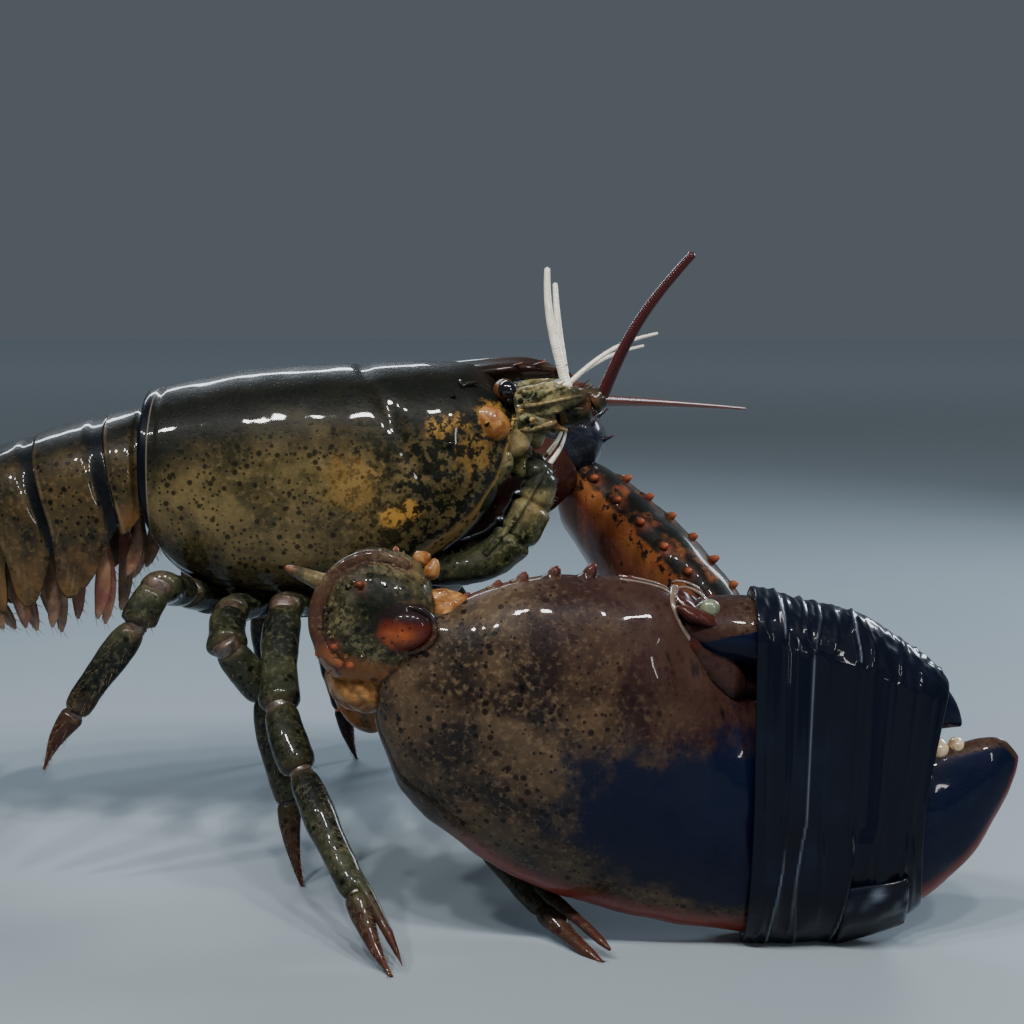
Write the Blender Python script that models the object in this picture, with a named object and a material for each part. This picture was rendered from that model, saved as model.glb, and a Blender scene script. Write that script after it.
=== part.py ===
"""American lobster at life size, standing on the floor, its heavy right claw wrapped in rubber.

Lengths are in millimetres and turned to metres when a mesh is made. X runs to the head, Y to the
animal's left, Z up, and the floor is z = 0. The last lines move the animal so that the origin is
the middle of the underside of its bounding box.
"""
import math

import bmesh
import bpy
from mathutils import Matrix, Vector

for old in list(bpy.data.objects):
    bpy.data.objects.remove(old, do_unlink=True)

MM = 0.001
GAP = 0.35          # clearance that neighbouring plates keep
RIGHT, LEFT = -1.0, 1.0

# Driving dimensions of the body
REAR_X = -165.0          # rear margin of the carapace
BROW_X = 1.0             # front margin of the carapace below the eyes
ROSTRUM_TIP = Vector((29.5, 0.0, 219.5))
BELLY_Z = 121.0          # lower margin of the carapace above the floor
BODY_SIDES = 24          # facets round the carapace
EYE_AT = Vector((-2.2, 20.0, 215.0))
EYE_R = 4.3

# Driving dimensions of the claws
WRIST_RIGHT = Vector((-46.4, -125.0, 112.6))
CLAW_DROP_RIGHT = math.radians(9.0)
WRIST_LEFT = Vector((35.0, 107.0, 158.0))
CLAW_DROP_LEFT = math.radians(41.0)
CLAW_TURN_LEFT = math.radians(35.0)     # towards the midline
CLAW_ROLL_LEFT = math.radians(42.0)
BAND_CLEAR = 1.1
BAND_WALL = 3.0
BAND_TALL = 2.3       # how much taller than wide the wrapped fingers are

# Paint, one Principled material for each kind of surface: colour, roughness
PAINT = {
    "shell": ((0.060, 0.055, 0.028), 0.28),
    "tail_shell": ((0.050, 0.046, 0.026), 0.28),
    "claw_shell": ((0.045, 0.026, 0.022), 0.24),
    "pale_claw_shell": ((0.300, 0.085, 0.035), 0.32),
    "leg_shell": ((0.035, 0.040, 0.026), 0.30),
    "mouth_shell": ((0.150, 0.130, 0.060), 0.35),
    "underside": ((0.300, 0.210, 0.120), 0.45),
    "eye": ((0.006, 0.005, 0.008), 0.06),
    "eyestalk": ((0.250, 0.160, 0.080), 0.35),
    "feeler": ((0.160, 0.030, 0.026), 0.35),
    "pale_feeler": ((0.700, 0.640, 0.500), 0.40),
    "rubber": ((0.010, 0.012, 0.020), 0.25),
}


def material(slot):
    """The named Principled material, made on first use."""
    found = bpy.data.materials.get(slot)
    if found:
        return found
    colour, roughness = PAINT[slot]
    made = bpy.data.materials.new(slot)
    made.use_nodes = True
    shader = made.node_tree.nodes["Principled BSDF"]
    shader.inputs["Base Color"].default_value = (*colour, 1.0)
    shader.inputs["Roughness"].default_value = roughness
    return made


def curve(keys, at):
    """Smooth curve through (position, value) keys, level past both ends."""
    if at <= keys[0][0]:
        return keys[0][1]
    if at >= keys[-1][0]:
        return keys[-1][1]
    i = next(k for k in range(len(keys) - 1) if keys[k + 1][0] >= at)
    (x0, y0), (x1, y1) = keys[i], keys[i + 1]
    before = keys[i - 1] if i > 0 else keys[i]
    after = keys[i + 2] if i + 2 < len(keys) else keys[i + 1]
    slope0 = (y1 - before[1]) / (x1 - before[0])
    slope1 = (after[1] - y0) / (after[0] - x0)
    span = x1 - x0
    t = (at - x0) / span
    return ((2 * t ** 3 - 3 * t ** 2 + 1) * y0 + (t ** 3 - 2 * t ** 2 + t) * span * slope0
            + (3 * t ** 2 - 2 * t ** 3) * y1 + (t ** 3 - t ** 2) * span * slope1)


def rounded(angle, half_width, up, down, power):
    """A point of a superellipse: its sideways and upward distance from the middle."""
    c, s = math.cos(angle), math.sin(angle)
    side = half_width * math.copysign(abs(c) ** (2.0 / power), c)
    height = (up if s > 0.0 else down) * math.copysign(abs(s) ** (2.0 / power), s)
    return side, height


def axes_along(direction, up=Vector((0.0, 0.0, 1.0))):
    """Sideways and upward unit vectors square to a direction."""
    side = up.cross(direction).normalized()
    return side, direction.cross(side).normalized()


def ellipse_ring(middle, direction, wide, high, sides=8, up=Vector((0.0, 0.0, 1.0))):
    """Points of an ellipse round a middle, square to a direction."""
    side, top = axes_along(direction, up)
    turns = [2.0 * math.pi * (k + 0.5) / sides for k in range(sides)]
    return [middle + side * (wide * math.cos(a)) + top * (high * math.sin(a)) for a in turns]


def finish(bm, name, slot):
    """Turns a bmesh in millimetres into a named object in metres."""
    bmesh.ops.triangulate(bm, faces=bm.faces)
    bmesh.ops.recalc_face_normals(bm, faces=bm.faces)
    bmesh.ops.scale(bm, vec=(MM, MM, MM), verts=bm.verts)
    mesh = bpy.data.meshes.new(name)
    bm.to_mesh(mesh)
    bm.free()
    made = bpy.data.objects.new(name, mesh)
    bpy.context.scene.collection.objects.link(made)
    mesh.materials.append(material(slot))
    return made


def loft(name, slot, rings, start=0.0, end=0.0):
    """Closed skin through rings of points; each end is a fan whose middle stands out by start, end."""
    bm = bmesh.new()
    ring = list(bmesh.ops.create_circle(bm, segments=len(rings[0]), radius=1.0)["verts"])
    middles = [sum(points, Vector()) / len(points) for points in rings]
    outward = [middles[0] - middles[1], middles[-1] - middles[-2]]
    loops = []
    for number, points in enumerate(rings):
        edges = [bm.edges.get((ring[k], ring[k - 1])) for k in range(len(ring))]
        if number > 0:
            grown = bmesh.ops.extrude_edge_only(bm, edges=edges)["geom"]
            new = {v for v in grown if isinstance(v, bmesh.types.BMVert)}
            ring = [next(e.other_vert(v) for e in v.link_edges if e.other_vert(v) in new) for v in ring]
            edges = [bm.edges.get((ring[k], ring[k - 1])) for k in range(len(ring))]
        for vert, point in zip(ring, points):
            vert.co = point
        if number in (0, len(rings) - 1):
            loops.append(edges)
    for edges, middle, away, bulge in zip(loops, (middles[0], middles[-1]), outward, (start, end)):
        cap = bmesh.ops.contextual_create(bm, geom=edges)["faces"]
        if bulge > 0.0:
            hub = bmesh.ops.poke(bm, faces=cap)["verts"][0]
            hub.co = middle + away.normalized() * bulge
    return finish(bm, name, slot)


def tube(name, slot, stations, sides=7, start=1.0, end=1.0, up=Vector((0.0, 0.0, 1.0))):
    """Tapering limb through stations (middle, half width, half height)."""
    rings = []
    for k, (middle, wide, high) in enumerate(stations):
        before = stations[max(k - 1, 0)][0]
        after = stations[min(k + 1, len(stations) - 1)][0]
        rings.append(ellipse_ring(middle, (after - before).normalized(), wide, high, sides, up))
    return loft(name, slot, rings, start, end)


def spine(root, tip, radius, sides=4):
    """Tapering spine from root to tip, closed, to be fused with the plate that it grows from."""
    direction = (tip - root).normalized()
    hint = Vector((0.0, 0.0, 1.0)) if abs(direction.z) < 0.9 else Vector((1.0, 0.0, 0.0))
    middle = root.lerp(tip, 0.55)
    rings = [ellipse_ring(root, direction, radius, radius, sides, hint),
             ellipse_ring(middle, direction, radius * 0.55, radius * 0.55, sides, hint),
             ellipse_ring(tip, direction, radius * 0.12, radius * 0.12, sides, hint)]
    return loft("spine", "shell", rings)


def knob(middle, radius, squash=1.0):
    """Rounded tubercle or molar tooth."""
    bm = bmesh.new()
    bmesh.ops.create_icosphere(bm, subdivisions=1, radius=radius)
    bmesh.ops.scale(bm, vec=(1.0, 1.0, squash), verts=bm.verts)
    bmesh.ops.translate(bm, vec=middle, verts=bm.verts)
    return finish(bm, "knob", "shell")


def keep_largest(target):
    """Keeps the largest closed surface of a mesh, whose loose scraps go."""
    bm = bmesh.new()
    bm.from_mesh(target.data)
    unseen = set(bm.verts)
    groups = []
    while unseen:
        front = [unseen.pop()]
        group = set(front)
        while front:
            for edge in front.pop().link_edges:
                for vert in edge.verts:
                    if vert in unseen:
                        unseen.discard(vert)
                        group.add(vert)
                        front.append(vert)
        groups.append(group)
    largest = max(groups, key=len)
    scraps = [v for v in bm.verts if v not in largest]
    bmesh.ops.delete(bm, geom=scraps, context="VERTS")
    bmesh.ops.dissolve_degenerate(bm, dist=1e-6, edges=bm.edges)
    bmesh.ops.triangulate(bm, faces=bm.faces)
    bm.to_mesh(target.data)
    bm.free()


def combine(target, pieces, operation):
    """Applies one Boolean with a collection of closed pieces, which are then removed."""
    group = bpy.data.collections.new("pieces")
    for piece in pieces:
        group.objects.link(piece)
    change = target.modifiers.new("combine", "BOOLEAN")
    change.operation = operation
    change.operand_type = "COLLECTION"
    change.collection = group
    change.solver = "EXACT"
    bpy.context.view_layer.update()
    result = bpy.data.meshes.new_from_object(target.evaluated_get(bpy.context.evaluated_depsgraph_get()))
    target.modifiers.remove(change)
    target.data = result
    for piece in pieces:
        bpy.data.objects.remove(piece, do_unlink=True)
    bpy.data.collections.remove(group)
    keep_largest(target)
    return target


def fuse(target, pieces):
    """Joins pieces whose roots are sunk in the target."""
    return combine(target, pieces, "UNION")


def make_room(target, neighbours, clearance=GAP):
    """Cuts from the target the space of its neighbours, with a clearance all round."""
    cutters = []
    for neighbour in neighbours:
        grown = neighbour.copy()
        grown.data = neighbour.data.copy()
        bpy.context.scene.collection.objects.link(grown)
        bm = bmesh.new()
        bm.from_mesh(grown.data)
        bm.normal_update()
        for vert in bm.verts:
            vert.co += vert.normal * (clearance * MM)
        bm.to_mesh(grown.data)
        bm.free()
        cutters.append(grown)
    return combine(target, cutters, "DIFFERENCE")


def trim_flat(target, height=0.0):
    """Cuts a foot flat at the floor."""
    bm = bmesh.new()
    bm.from_mesh(target.data)
    bmesh.ops.bisect_plane(bm, geom=bm.verts[:] + bm.edges[:] + bm.faces[:], dist=1e-7,
                           plane_co=(0.0, 0.0, height * MM), plane_no=(0.0, 0.0, -1.0), clear_outer=True)
    rim = [e for e in bm.edges if e.is_boundary]
    if rim:
        bmesh.ops.holes_fill(bm, edges=rim)
    bmesh.ops.triangulate(bm, faces=bm.faces)
    bmesh.ops.recalc_face_normals(bm, faces=bm.faces)
    bm.to_mesh(target.data)
    bm.free()
    return target


# Carapace: the shield over head and thorax, with the rostrum between the eyes
CARAPACE_TOP = [(REAR_X, 214.5), (-143.0, 219.5), (-115.0, 223.5), (-65.0, 226.5), (-37.0, 227.0),
                (-18.0, 226.0), (-9.0, 221.0), (-3.0, 212.0), (BROW_X, 205.0)]
CARAPACE_FOOT = [(REAR_X, 152.0), (-163.0, 147.0), (-156.0, 136.0), (-147.0, 128.0), (-136.0, 124.0),
                 (-112.0, BELLY_Z), (-84.0, BELLY_Z), (-62.0, 124.0), (-45.0, 131.0), (-32.0, 139.5),
                 (-19.0, 149.0), (-10.0, 161.0), (-5.0, 171.0), (-1.0, 187.0), (BROW_X, 197.0)]
CARAPACE_HALF = [(REAR_X, 40.0), (-145.0, 44.0), (-95.0, 47.0), (-55.0, 46.0), (-30.0, 41.0),
                 (-12.0, 33.0), (BROW_X, 25.0)]
CARAPACE_AT = [REAR_X, -163.0, -159.0, -153.0, -145.0, -135.0, -122.0, -108.0, -94.0, -83.0, -77.0,
               -71.0, -66.0, -61.0, -56.0, -51.0, -46.0, -41.0, -36.0, -31.0, -26.0, -20.0, -14.0,
               -9.0, -5.0, -2.0, BROW_X]
GROOVE = [(110.0, -20.0), (165.0, -33.0), (190.0, -46.0), (210.0, -56.0), (228.0, -70.0)]
GROOVE_DEPTH, GROOVE_WIDTH = 2.2, 4.5


def carapace_point(x, angle):
    """A point of the carapace's skin at a station and an angle round it."""
    top, foot, half = curve(CARAPACE_TOP, x), curve(CARAPACE_FOOT, x), curve(CARAPACE_HALF, x)
    middle = foot + 0.47 * (top - foot)
    upper = math.sin(angle) > 0.0
    side, height = rounded(angle, half, top - middle, middle - foot, 2.25 if upper else 2.8)
    height += middle
    across = (x - curve(GROOVE, height)) / GROOVE_WIDTH
    fade = min(1.0, max(0.0, (height - 150.0) / 20.0))
    sink = GROOVE_DEPTH * fade * math.exp(-across * across)
    inward = 1.0 - sink / math.hypot(side, height - middle)
    return Vector((x, side * inward, middle + (height - middle) * inward))


def make_carapace():
    turns = [2.0 * math.pi * k / BODY_SIDES for k in range(BODY_SIDES)]
    rings = [[carapace_point(x, a) for a in turns] for x in CARAPACE_AT]
    shield = loft("carapace", "shell", rings, 0.0, 1.0)
    rostrum = []
    for t in (0.0, 0.25, 0.5, 0.7, 0.85, 1.0):
        x = -34.0 + t * (ROSTRUM_TIP.x + 34.0)
        half = curve([(0.0, 15.0), (0.5, 10.0), (0.75, 6.5), (1.0, 0.7)], t)
        top = curve([(0.0, 226.5), (0.6, 229.0), (0.85, 225.0), (1.0, ROSTRUM_TIP.z + 0.6)], t)
        low = curve([(0.0, 210.0), (0.6, 218.0), (0.85, 219.0), (1.0, ROSTRUM_TIP.z - 0.6)], t)
        edge = top - 0.42 * (top - low)
        ridge = top - 0.12 * (top - low)
        rostrum.append([Vector((x, half, edge)), Vector((x, half * 0.45, ridge)), Vector((x, 0.0, top)),
                        Vector((x, -half * 0.45, ridge)), Vector((x, -half, edge)), Vector((x, 0.0, low))])
    pieces = [loft("rostrum", "shell", rostrum)]
    for side in (RIGHT, LEFT):
        for x, out, z in ((1.0, 9.0, 223.5), (11.5, 7.0, 224.0), (21.5, 4.0, 222.5)):
            root = Vector((x - 5.0, side * out * 0.4, z - 1.0))
            tip = Vector((x + 4.0, side * (out + 2.5), z + 3.5))
            pieces.append(spine(root, tip, 2.2))
        pieces.append(spine(Vector((-24.0, side * 24.0, 217.0)), Vector((-11.0, side * 25.0, 219.5)), 3.0))
        pieces.append(spine(Vector((-10.0, side * 27.0, 201.0)), Vector((6.0, side * 29.5, 203.0)), 3.4))
        pieces.append(spine(Vector((-30.0, side * 38.0, 192.0)), Vector((-20.0, side * 41.5, 194.0)), 2.6))
    return fuse(shield, pieces)


# Abdomen: six rings, each hinged to the next on a joint plane square to the tail's bend
SOMITE_LENGTH = (19.5, 34.0, 32.0, 32.0, 32.0, 36.0)
SOMITE_SLOPE = (10.0, 15.0, 20.0, 37.0, 55.0, 71.0)
JOINT_SLOPE = (0.0, 12.5, 17.5, 28.0, 46.0, 63.0, 76.0)
SOMITE_HALF = (36.0, 40.5, 37.5, 34.5, 31.5, 28.5, 25.0)
SOMITE_DEPTH = (54.0, 54.0, 54.0, 51.0, 46.0, 41.0, 33.0)
PLEURON_DROP = (6.0, 27.0, 26.0, 24.0, 21.0, 15.0)
PLEURON_WALL = 2.6
TAIL_START = Vector((REAR_X - 0.3, 0.0, 207.0))


def tail_joints():
    """Dorsal point, rearward direction and downward direction of each joint plane."""
    joints = []
    at = TAIL_START.copy()
    for k, slope in enumerate(JOINT_SLOPE):
        turn = math.radians(slope)
        back = Vector((-math.cos(turn), 0.0, -math.sin(turn)))
        down = Vector((math.sin(turn), 0.0, -math.cos(turn)))
        joints.append((at.copy(), back, down))
        if k < len(SOMITE_LENGTH):
            lean = math.radians(SOMITE_SLOPE[k])
            at += Vector((-math.cos(lean), 0.0, -math.sin(lean))) * SOMITE_LENGTH[k]
    return joints


def somite_ring(top, back, down, half, depth, drop, sweep, scale):
    """One section: the arched plate above, side plates hanging at its edges, a flat underside."""
    points = []
    crown = 9
    for k in range(crown):
        angle = math.pi * k / (crown - 1)
        side, height = rounded(angle, half * scale, depth * 0.62, 0.0, 2.2)
        points.append(top + Vector((0.0, side, 0.0)) + down * (depth * 0.62 - height + (1.0 - scale) * 14.0))
    edge = depth * 0.62
    plate = []
    for f, lean, share in ((0.45, 0.3, 0.6 * scale + 0.4), (1.0, 2.0, 0.3 * scale + 0.7)):
        out = half * share - lean
        at = top + down * (edge + (depth * 0.25 + drop) * f) + back * (sweep * f * f)
        plate.append((at, out))
    (upper, upper_out), (tip, tip_out) = plate
    bulge = down * 2.0
    points.append(upper - Vector((0.0, upper_out, 0.0)))
    points.append(tip - Vector((0.0, tip_out, 0.0)))
    points.append(tip - Vector((0.0, tip_out - PLEURON_WALL + 0.5, 0.0)))
    points.append(upper - Vector((0.0, upper_out - PLEURON_WALL - 0.8, 0.0)))
    points.append(upper - Vector((0.0, upper_out * 0.45, 0.0)) + bulge)
    points.append(upper + Vector((0.0, upper_out * 0.45, 0.0)) + bulge)
    points.append(upper + Vector((0.0, upper_out - PLEURON_WALL - 0.8, 0.0)))
    points.append(tip + Vector((0.0, tip_out - PLEURON_WALL + 0.5, 0.0)))
    points.append(tip + Vector((0.0, tip_out, 0.0)))
    points.append(upper + Vector((0.0, upper_out, 0.0)))
    return points


def swimmeret(root, down, back, length):
    """A paddle under the tail: a short stalk and two leaf-like blades."""
    side = math.copysign(1.0, root.y)
    blades = []
    for spread, reach in ((-3.0, 1.0), (3.5, 0.9)):
        stations = []
        for t, wide in ((0.0, 2.4), (0.3, 3.0), (0.65, 4.6), (1.0, 1.2)):
            middle = root + down * (length * reach * t) + back * (length * 0.25 * t * t)
            middle = middle + Vector((0.0, side * spread * (0.45 + t), 0.0))
            stations.append((middle, 0.8 + 1.0 * (1.0 - t), wide))
        blades.append(tube("blade", "underside", stations, sides=5, start=0.5, end=0.5, up=back))
    return blades


def make_somite(number, joints):
    """One ring of the abdomen, from its front joint plane to its rear one."""
    front, rear = joints[number], joints[number + 1]
    rings = []
    for t, scale, drop in ((0.0, 0.93, 0.0), (0.22, 0.935, 0.45), (0.26, 0.985, 0.6), (0.5, 1.01, 0.92),
                           (0.78, 1.01, 1.0), (1.0, 0.99, 0.55)):
        top = front[0].lerp(rear[0], t)
        back = front[1].lerp(rear[1], t).normalized()
        down = front[2].lerp(rear[2], t).normalized()
        half = SOMITE_HALF[number] + (SOMITE_HALF[number + 1] - SOMITE_HALF[number]) * t * 0.5
        depth = SOMITE_DEPTH[number] + (SOMITE_DEPTH[number + 1] - SOMITE_DEPTH[number]) * t
        fall = PLEURON_DROP[number] * drop
        sweep = fall * 0.34 if 0.0 < t else 0.0
        inset = 0.0 if 0.0 < t < 1.0 else 0.17 * (1.0 if t < 0.5 else -1.0)
        rings.append(somite_ring(top + back * inset, back, down, half, depth, fall, sweep, scale))
    ring = loft(f"somite_{number + 1}", "tail_shell", rings)
    if number == 5:
        return ring
    paddles = []
    for side in (RIGHT, LEFT):
        top = front[0].lerp(rear[0], 0.45)
        down = front[2].lerp(rear[2], 0.45).normalized()
        back = front[1].lerp(rear[1], 0.45).normalized()
        depth = (SOMITE_DEPTH[number] + SOMITE_DEPTH[number + 1]) * 0.5
        root = top + down * (depth * 0.95 - 5.0) + Vector((0.0, side * (SOMITE_HALF[number] * 0.52), 0.0))
        length = (30.0, 46.0, 44.0, 40.0, 34.0)[number]
        paddles += swimmeret(root, down, back, length)
    return fuse(ring, paddles)


FAN_OUTLINE = [(0.0, 0.42), (0.15, 0.62), (0.5, 0.96), (0.75, 1.0), (0.92, 0.72), (0.99, 0.36)]


def fan_plate(name, root, direction, up, length, half, thick):
    """A flat blade of the tail fan, round at its end."""
    side, top = axes_along(direction, up)
    rings = []
    for t in (0.0, 0.12, 0.3, 0.55, 0.78, 0.92, 0.99):
        wide = half * curve(FAN_OUTLINE, t)
        high = thick * (1.0 - 0.6 * t)
        middle = root + direction * (length * t) - top * (2.5 * t * t)
        ring = []
        for k in range(10):
            angle = 2.0 * math.pi * k / 10.0
            c, s = math.cos(angle), math.sin(angle)
            arch = 0.06 * wide * (1.0 - c * c)
            ring.append(middle + side * (wide * c) + top * (high * s + arch))
        rings.append(ring)
    return loft(name, "tail_shell", rings, 0.3, 0.6)


def make_fan(joints):
    """Telson in the middle and two uropods on each side."""
    at, back, down = joints[-1]
    root = at + down * (SOMITE_DEPTH[-1] * 0.42) + back * 0.3
    up = -down
    plates = [fan_plate("telson", root + up * 5.0, (back + up * 0.02).normalized(), up, 58.0, 20.5, 4.2)]
    for side, word in ((RIGHT, "right"), (LEFT, "left")):
        for label, splay, out, sink, length, half in (("inner", 24.0, 12.0, 1.5, 62.0, 17.0),
                                                      ("outer", 52.0, 19.0, 7.0, 64.0, 18.5)):
            turn = math.radians(splay)
            direction = (back * math.cos(turn) + Vector((0.0, side * math.sin(turn), 0.0))).normalized()
            start = root + Vector((0.0, side * out, 0.0)) - up * sink
            plates.append(fan_plate(f"uropod_{label}_{word}", start, direction, up, length, half, 2.8))
    return plates


# Claws: palm with its fixed finger, and the hinged finger, in a frame whose X runs wrist to tip
CRUSHER = {
    "top": [(-4.0, 18.0), (6.0, 26.0), (19.0, 30.0), (36.0, 39.0), (52.0, 45.0), (74.0, 49.0), (93.0, 49.0),
            (112.0, 46.5), (120.0, 43.0), (126.0, 30.0), (133.0, 17.0), (141.0, 12.0), (160.0, 9.0),
            (180.0, 6.0), (200.0, 3.0), (214.0, 0.0), (224.0, 3.0), (236.0, 8.0), (244.0, 8.5), (251.0, 3.0)],
    "foot": [(-4.0, -24.0), (0.0, -32.0), (10.0, -49.0), (31.0, -64.0), (61.0, -78.0), (94.0, -84.5),
             (126.0, -87.0), (150.0, -86.5), (174.0, -83.5), (193.0, -78.0), (224.0, -61.0), (240.0, -41.0),
             (248.0, -20.0), (251.0, -6.0)],
    "half": [(-4.0, 14.0), (10.0, 21.0), (36.0, 28.0), (74.0, 32.0), (112.0, 28.0), (140.0, 23.0),
             (180.0, 19.0), (214.0, 15.0), (240.0, 8.0), (251.0, 2.0)],
    "at": [-4.0, 0.0, 9.0, 24.0, 44.0, 68.0, 94.0, 112.0, 120.0, 129.0, 139.0, 152.0, 164.0, 178.0,
           190.0, 202.0, 212.0, 225.0, 237.0, 246.0, 251.0],
    "finger_top": [(108.0, 38.0), (116.0, 45.5), (135.0, 48.5), (153.0, 47.0), (177.0, 46.0), (196.0, 38.5),
                   (211.0, 30.0), (222.0, 19.5), (226.0, 13.5)],
    "finger_foot": [(108.0, 18.0), (122.0, 22.0), (138.0, 27.0), (160.0, 20.0), (180.0, 14.0), (200.0, 10.5),
                    (215.0, 8.5), (226.0, 11.0)],
    "finger_half": [(108.0, 9.0), (122.0, 16.0), (150.0, 17.0), (180.0, 14.5), (205.0, 10.0), (220.0, 5.0),
                    (226.0, 1.6)],
    "finger_at": [108.0, 114.0, 122.0, 130.0, 139.0, 152.0, 164.0, 178.0, 190.0, 202.0, 212.0, 220.0, 226.0],
}
CUTTER = {
    "top": [(-4.0, 17.0), (6.0, 22.0), (22.0, 27.0), (50.0, 33.0), (80.0, 36.0), (104.0, 34.0), (114.0, 29.0),
            (121.0, 17.0), (130.0, 5.0), (150.0, 2.0), (180.0, 0.0), (210.0, 0.5), (232.0, 5.0), (245.0, 10.0)],
    "foot": [(-4.0, -30.0), (4.0, -38.0), (22.0, -44.5), (50.0, -47.0), (85.0, -47.5), (120.0, -44.5),
             (150.0, -38.0), (180.0, -31.0), (210.0, -22.0), (232.0, -10.0), (245.0, 5.0)],
    "half": [(-4.0, 12.0), (8.0, 17.0), (40.0, 22.0), (75.0, 23.5), (108.0, 21.0), (130.0, 16.0),
             (170.0, 12.0), (210.0, 8.5), (235.0, 4.5), (245.0, 1.6)],
    "at": [-4.0, 3.0, 14.0, 34.0, 58.0, 82.0, 102.0, 113.0, 120.0, 129.0, 146.0, 168.0, 190.0, 212.0,
           228.0, 239.0, 245.0],
    "finger_top": [(102.0, 26.0), (110.0, 33.5), (130.0, 37.0), (160.0, 35.0), (190.0, 29.0), (215.0, 20.0),
                   (234.0, 8.0), (240.0, 0.0)],
    "finger_foot": [(102.0, 10.0), (116.0, 13.0), (130.0, 15.0), (160.0, 10.0), (190.0, 6.0), (215.0, 3.0),
                    (232.0, -1.0), (240.0, -4.0)],
    "finger_half": [(102.0, 7.0), (114.0, 12.0), (150.0, 11.0), (190.0, 8.0), (220.0, 4.5), (240.0, 1.4)],
    "finger_at": [102.0, 109.0, 120.0, 138.0, 158.0, 180.0, 202.0, 220.0, 234.0, 240.0],
}
CLAW_SIDES = 14
# Teeth of each claw: distance from the wrist, radius
CRUSHER_TEETH = ((146.0, 4.6), (156.0, 5.2), (167.0, 5.4), (179.0, 5.0), (190.0, 4.4), (201.0, 3.8), (211.0, 3.2))
CUTTER_TEETH = [(140.0 + 12.0 * k, 3.0 - 0.2 * k) for k in range(8)]


def claw_frame(wrist, drop, turn, roll):
    """Places a claw: its X drops and turns to the right, its Z leans to the right by the roll."""
    ahead = Vector((math.cos(turn), -math.sin(turn), 0.0))
    aside = Vector((math.sin(turn), math.cos(turn), 0.0))
    along = ahead * math.cos(drop) - Vector((0.0, 0.0, math.sin(drop)))
    upright = aside.cross(-along)
    top = upright * math.cos(roll) - aside * math.sin(roll)
    side = top.cross(along)
    axes = Matrix((along, side, top)).transposed().to_4x4()
    return Matrix.Translation(wrist) @ axes


def claw_section(shape, part, x, sides=CLAW_SIDES):
    """Points of a claw's section at a distance from the wrist; part is palm or finger."""
    prefix = "finger_" if part == "finger" else ""
    top, foot = curve(shape[prefix + "top"], x), curve(shape[prefix + "foot"], x)
    half = curve(shape[prefix + "half"], x)
    middle = foot + (0.5 if part == "finger" else 0.54) * (top - foot)
    points = []
    for k in range(sides):
        side, height = rounded(2.0 * math.pi * (k + 0.5) / sides, half, top - middle, middle - foot, 1.9)
        points.append(Vector((x, side, middle + height)))
    return points


def claw_spines(shape, where, half_share, rise, radius):
    """Spines along the upper margin of a palm, each at a distance from the wrist."""
    pieces = []
    for x, lift in where:
        top = curve(shape["top"], x)
        side = half_share * curve(shape["half"], x)
        root = Vector((x - 2.0, side, top - 7.0 - abs(half_share) * 10.0))
        tip = Vector((x + 5.0, side * 1.15, top + rise * lift - abs(half_share) * 6.0))
        pieces.append(spine(root, tip, radius))
    return pieces


def place(pieces, frame):
    """Moves meshes from a claw's own frame, in millimetres, to the animal's."""
    shift = frame.copy()
    shift.translation = frame.translation * MM
    for piece in pieces:
        piece.data.transform(shift)
    return pieces


def make_claw(word, shape, frame, teeth, spines, slot):
    """Palm with fixed finger, and the movable finger, each one closed solid."""
    palm = loft(f"palm_{word}", slot, [claw_section(shape, "palm", x) for x in shape["at"]], 2.0, 1.0)
    rings = [claw_section(shape, "finger", x, 10) for x in shape["finger_at"]]
    finger = loft(f"finger_{word}", slot, rings, 1.0, 0.8)
    lower, upper = [], []
    for x, size in teeth:
        lower.append(knob(Vector((x, 0.0, curve(shape["top"], x) - size * 0.25)), size, 1.1))
        above = x + size * 1.1
        rise = curve(shape["finger_foot"], above) + size * 0.35
        upper.append(knob(Vector((above, 0.0, rise)), size * 0.85, 1.1))
    fuse(palm, lower + spines)
    fuse(finger, upper)
    make_room(finger, [palm])
    return place([palm, finger], frame)


def band_ring(x, slant, offset, sides):
    """Points of the wrap round both fingers, off their common outline by an offset."""
    ring = []
    for k in range(sides):
        angle = 2.0 * math.pi * (k + 0.5) / sides
        c, s = Vector((BAND_TALL * math.cos(angle), math.sin(angle))).normalized()
        best = Vector((x, 0.0, 0.0))
        for _ in range(4):
            station = x + slant * best.z
            outline = claw_section(CRUSHER, "palm", station, 48) + claw_section(CRUSHER, "finger", station, 48)
            best = max(outline, key=lambda p: p.y * c + p.z * s)
        ring.append(Vector((x + slant * best.z, best.y + c * offset, best.z + s * offset)))
    return ring


# Stations of the wrap along the claw, each with the slant of its edge
BAND_SPAN = ((142.0, -0.15), (152.0, -0.14), (164.0, -0.125), (178.0, -0.11), (190.0, -0.095), (202.0, -0.08),
             (212.0, -0.07), (221.0, -0.06))
BAND_SIDES = 20


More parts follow.
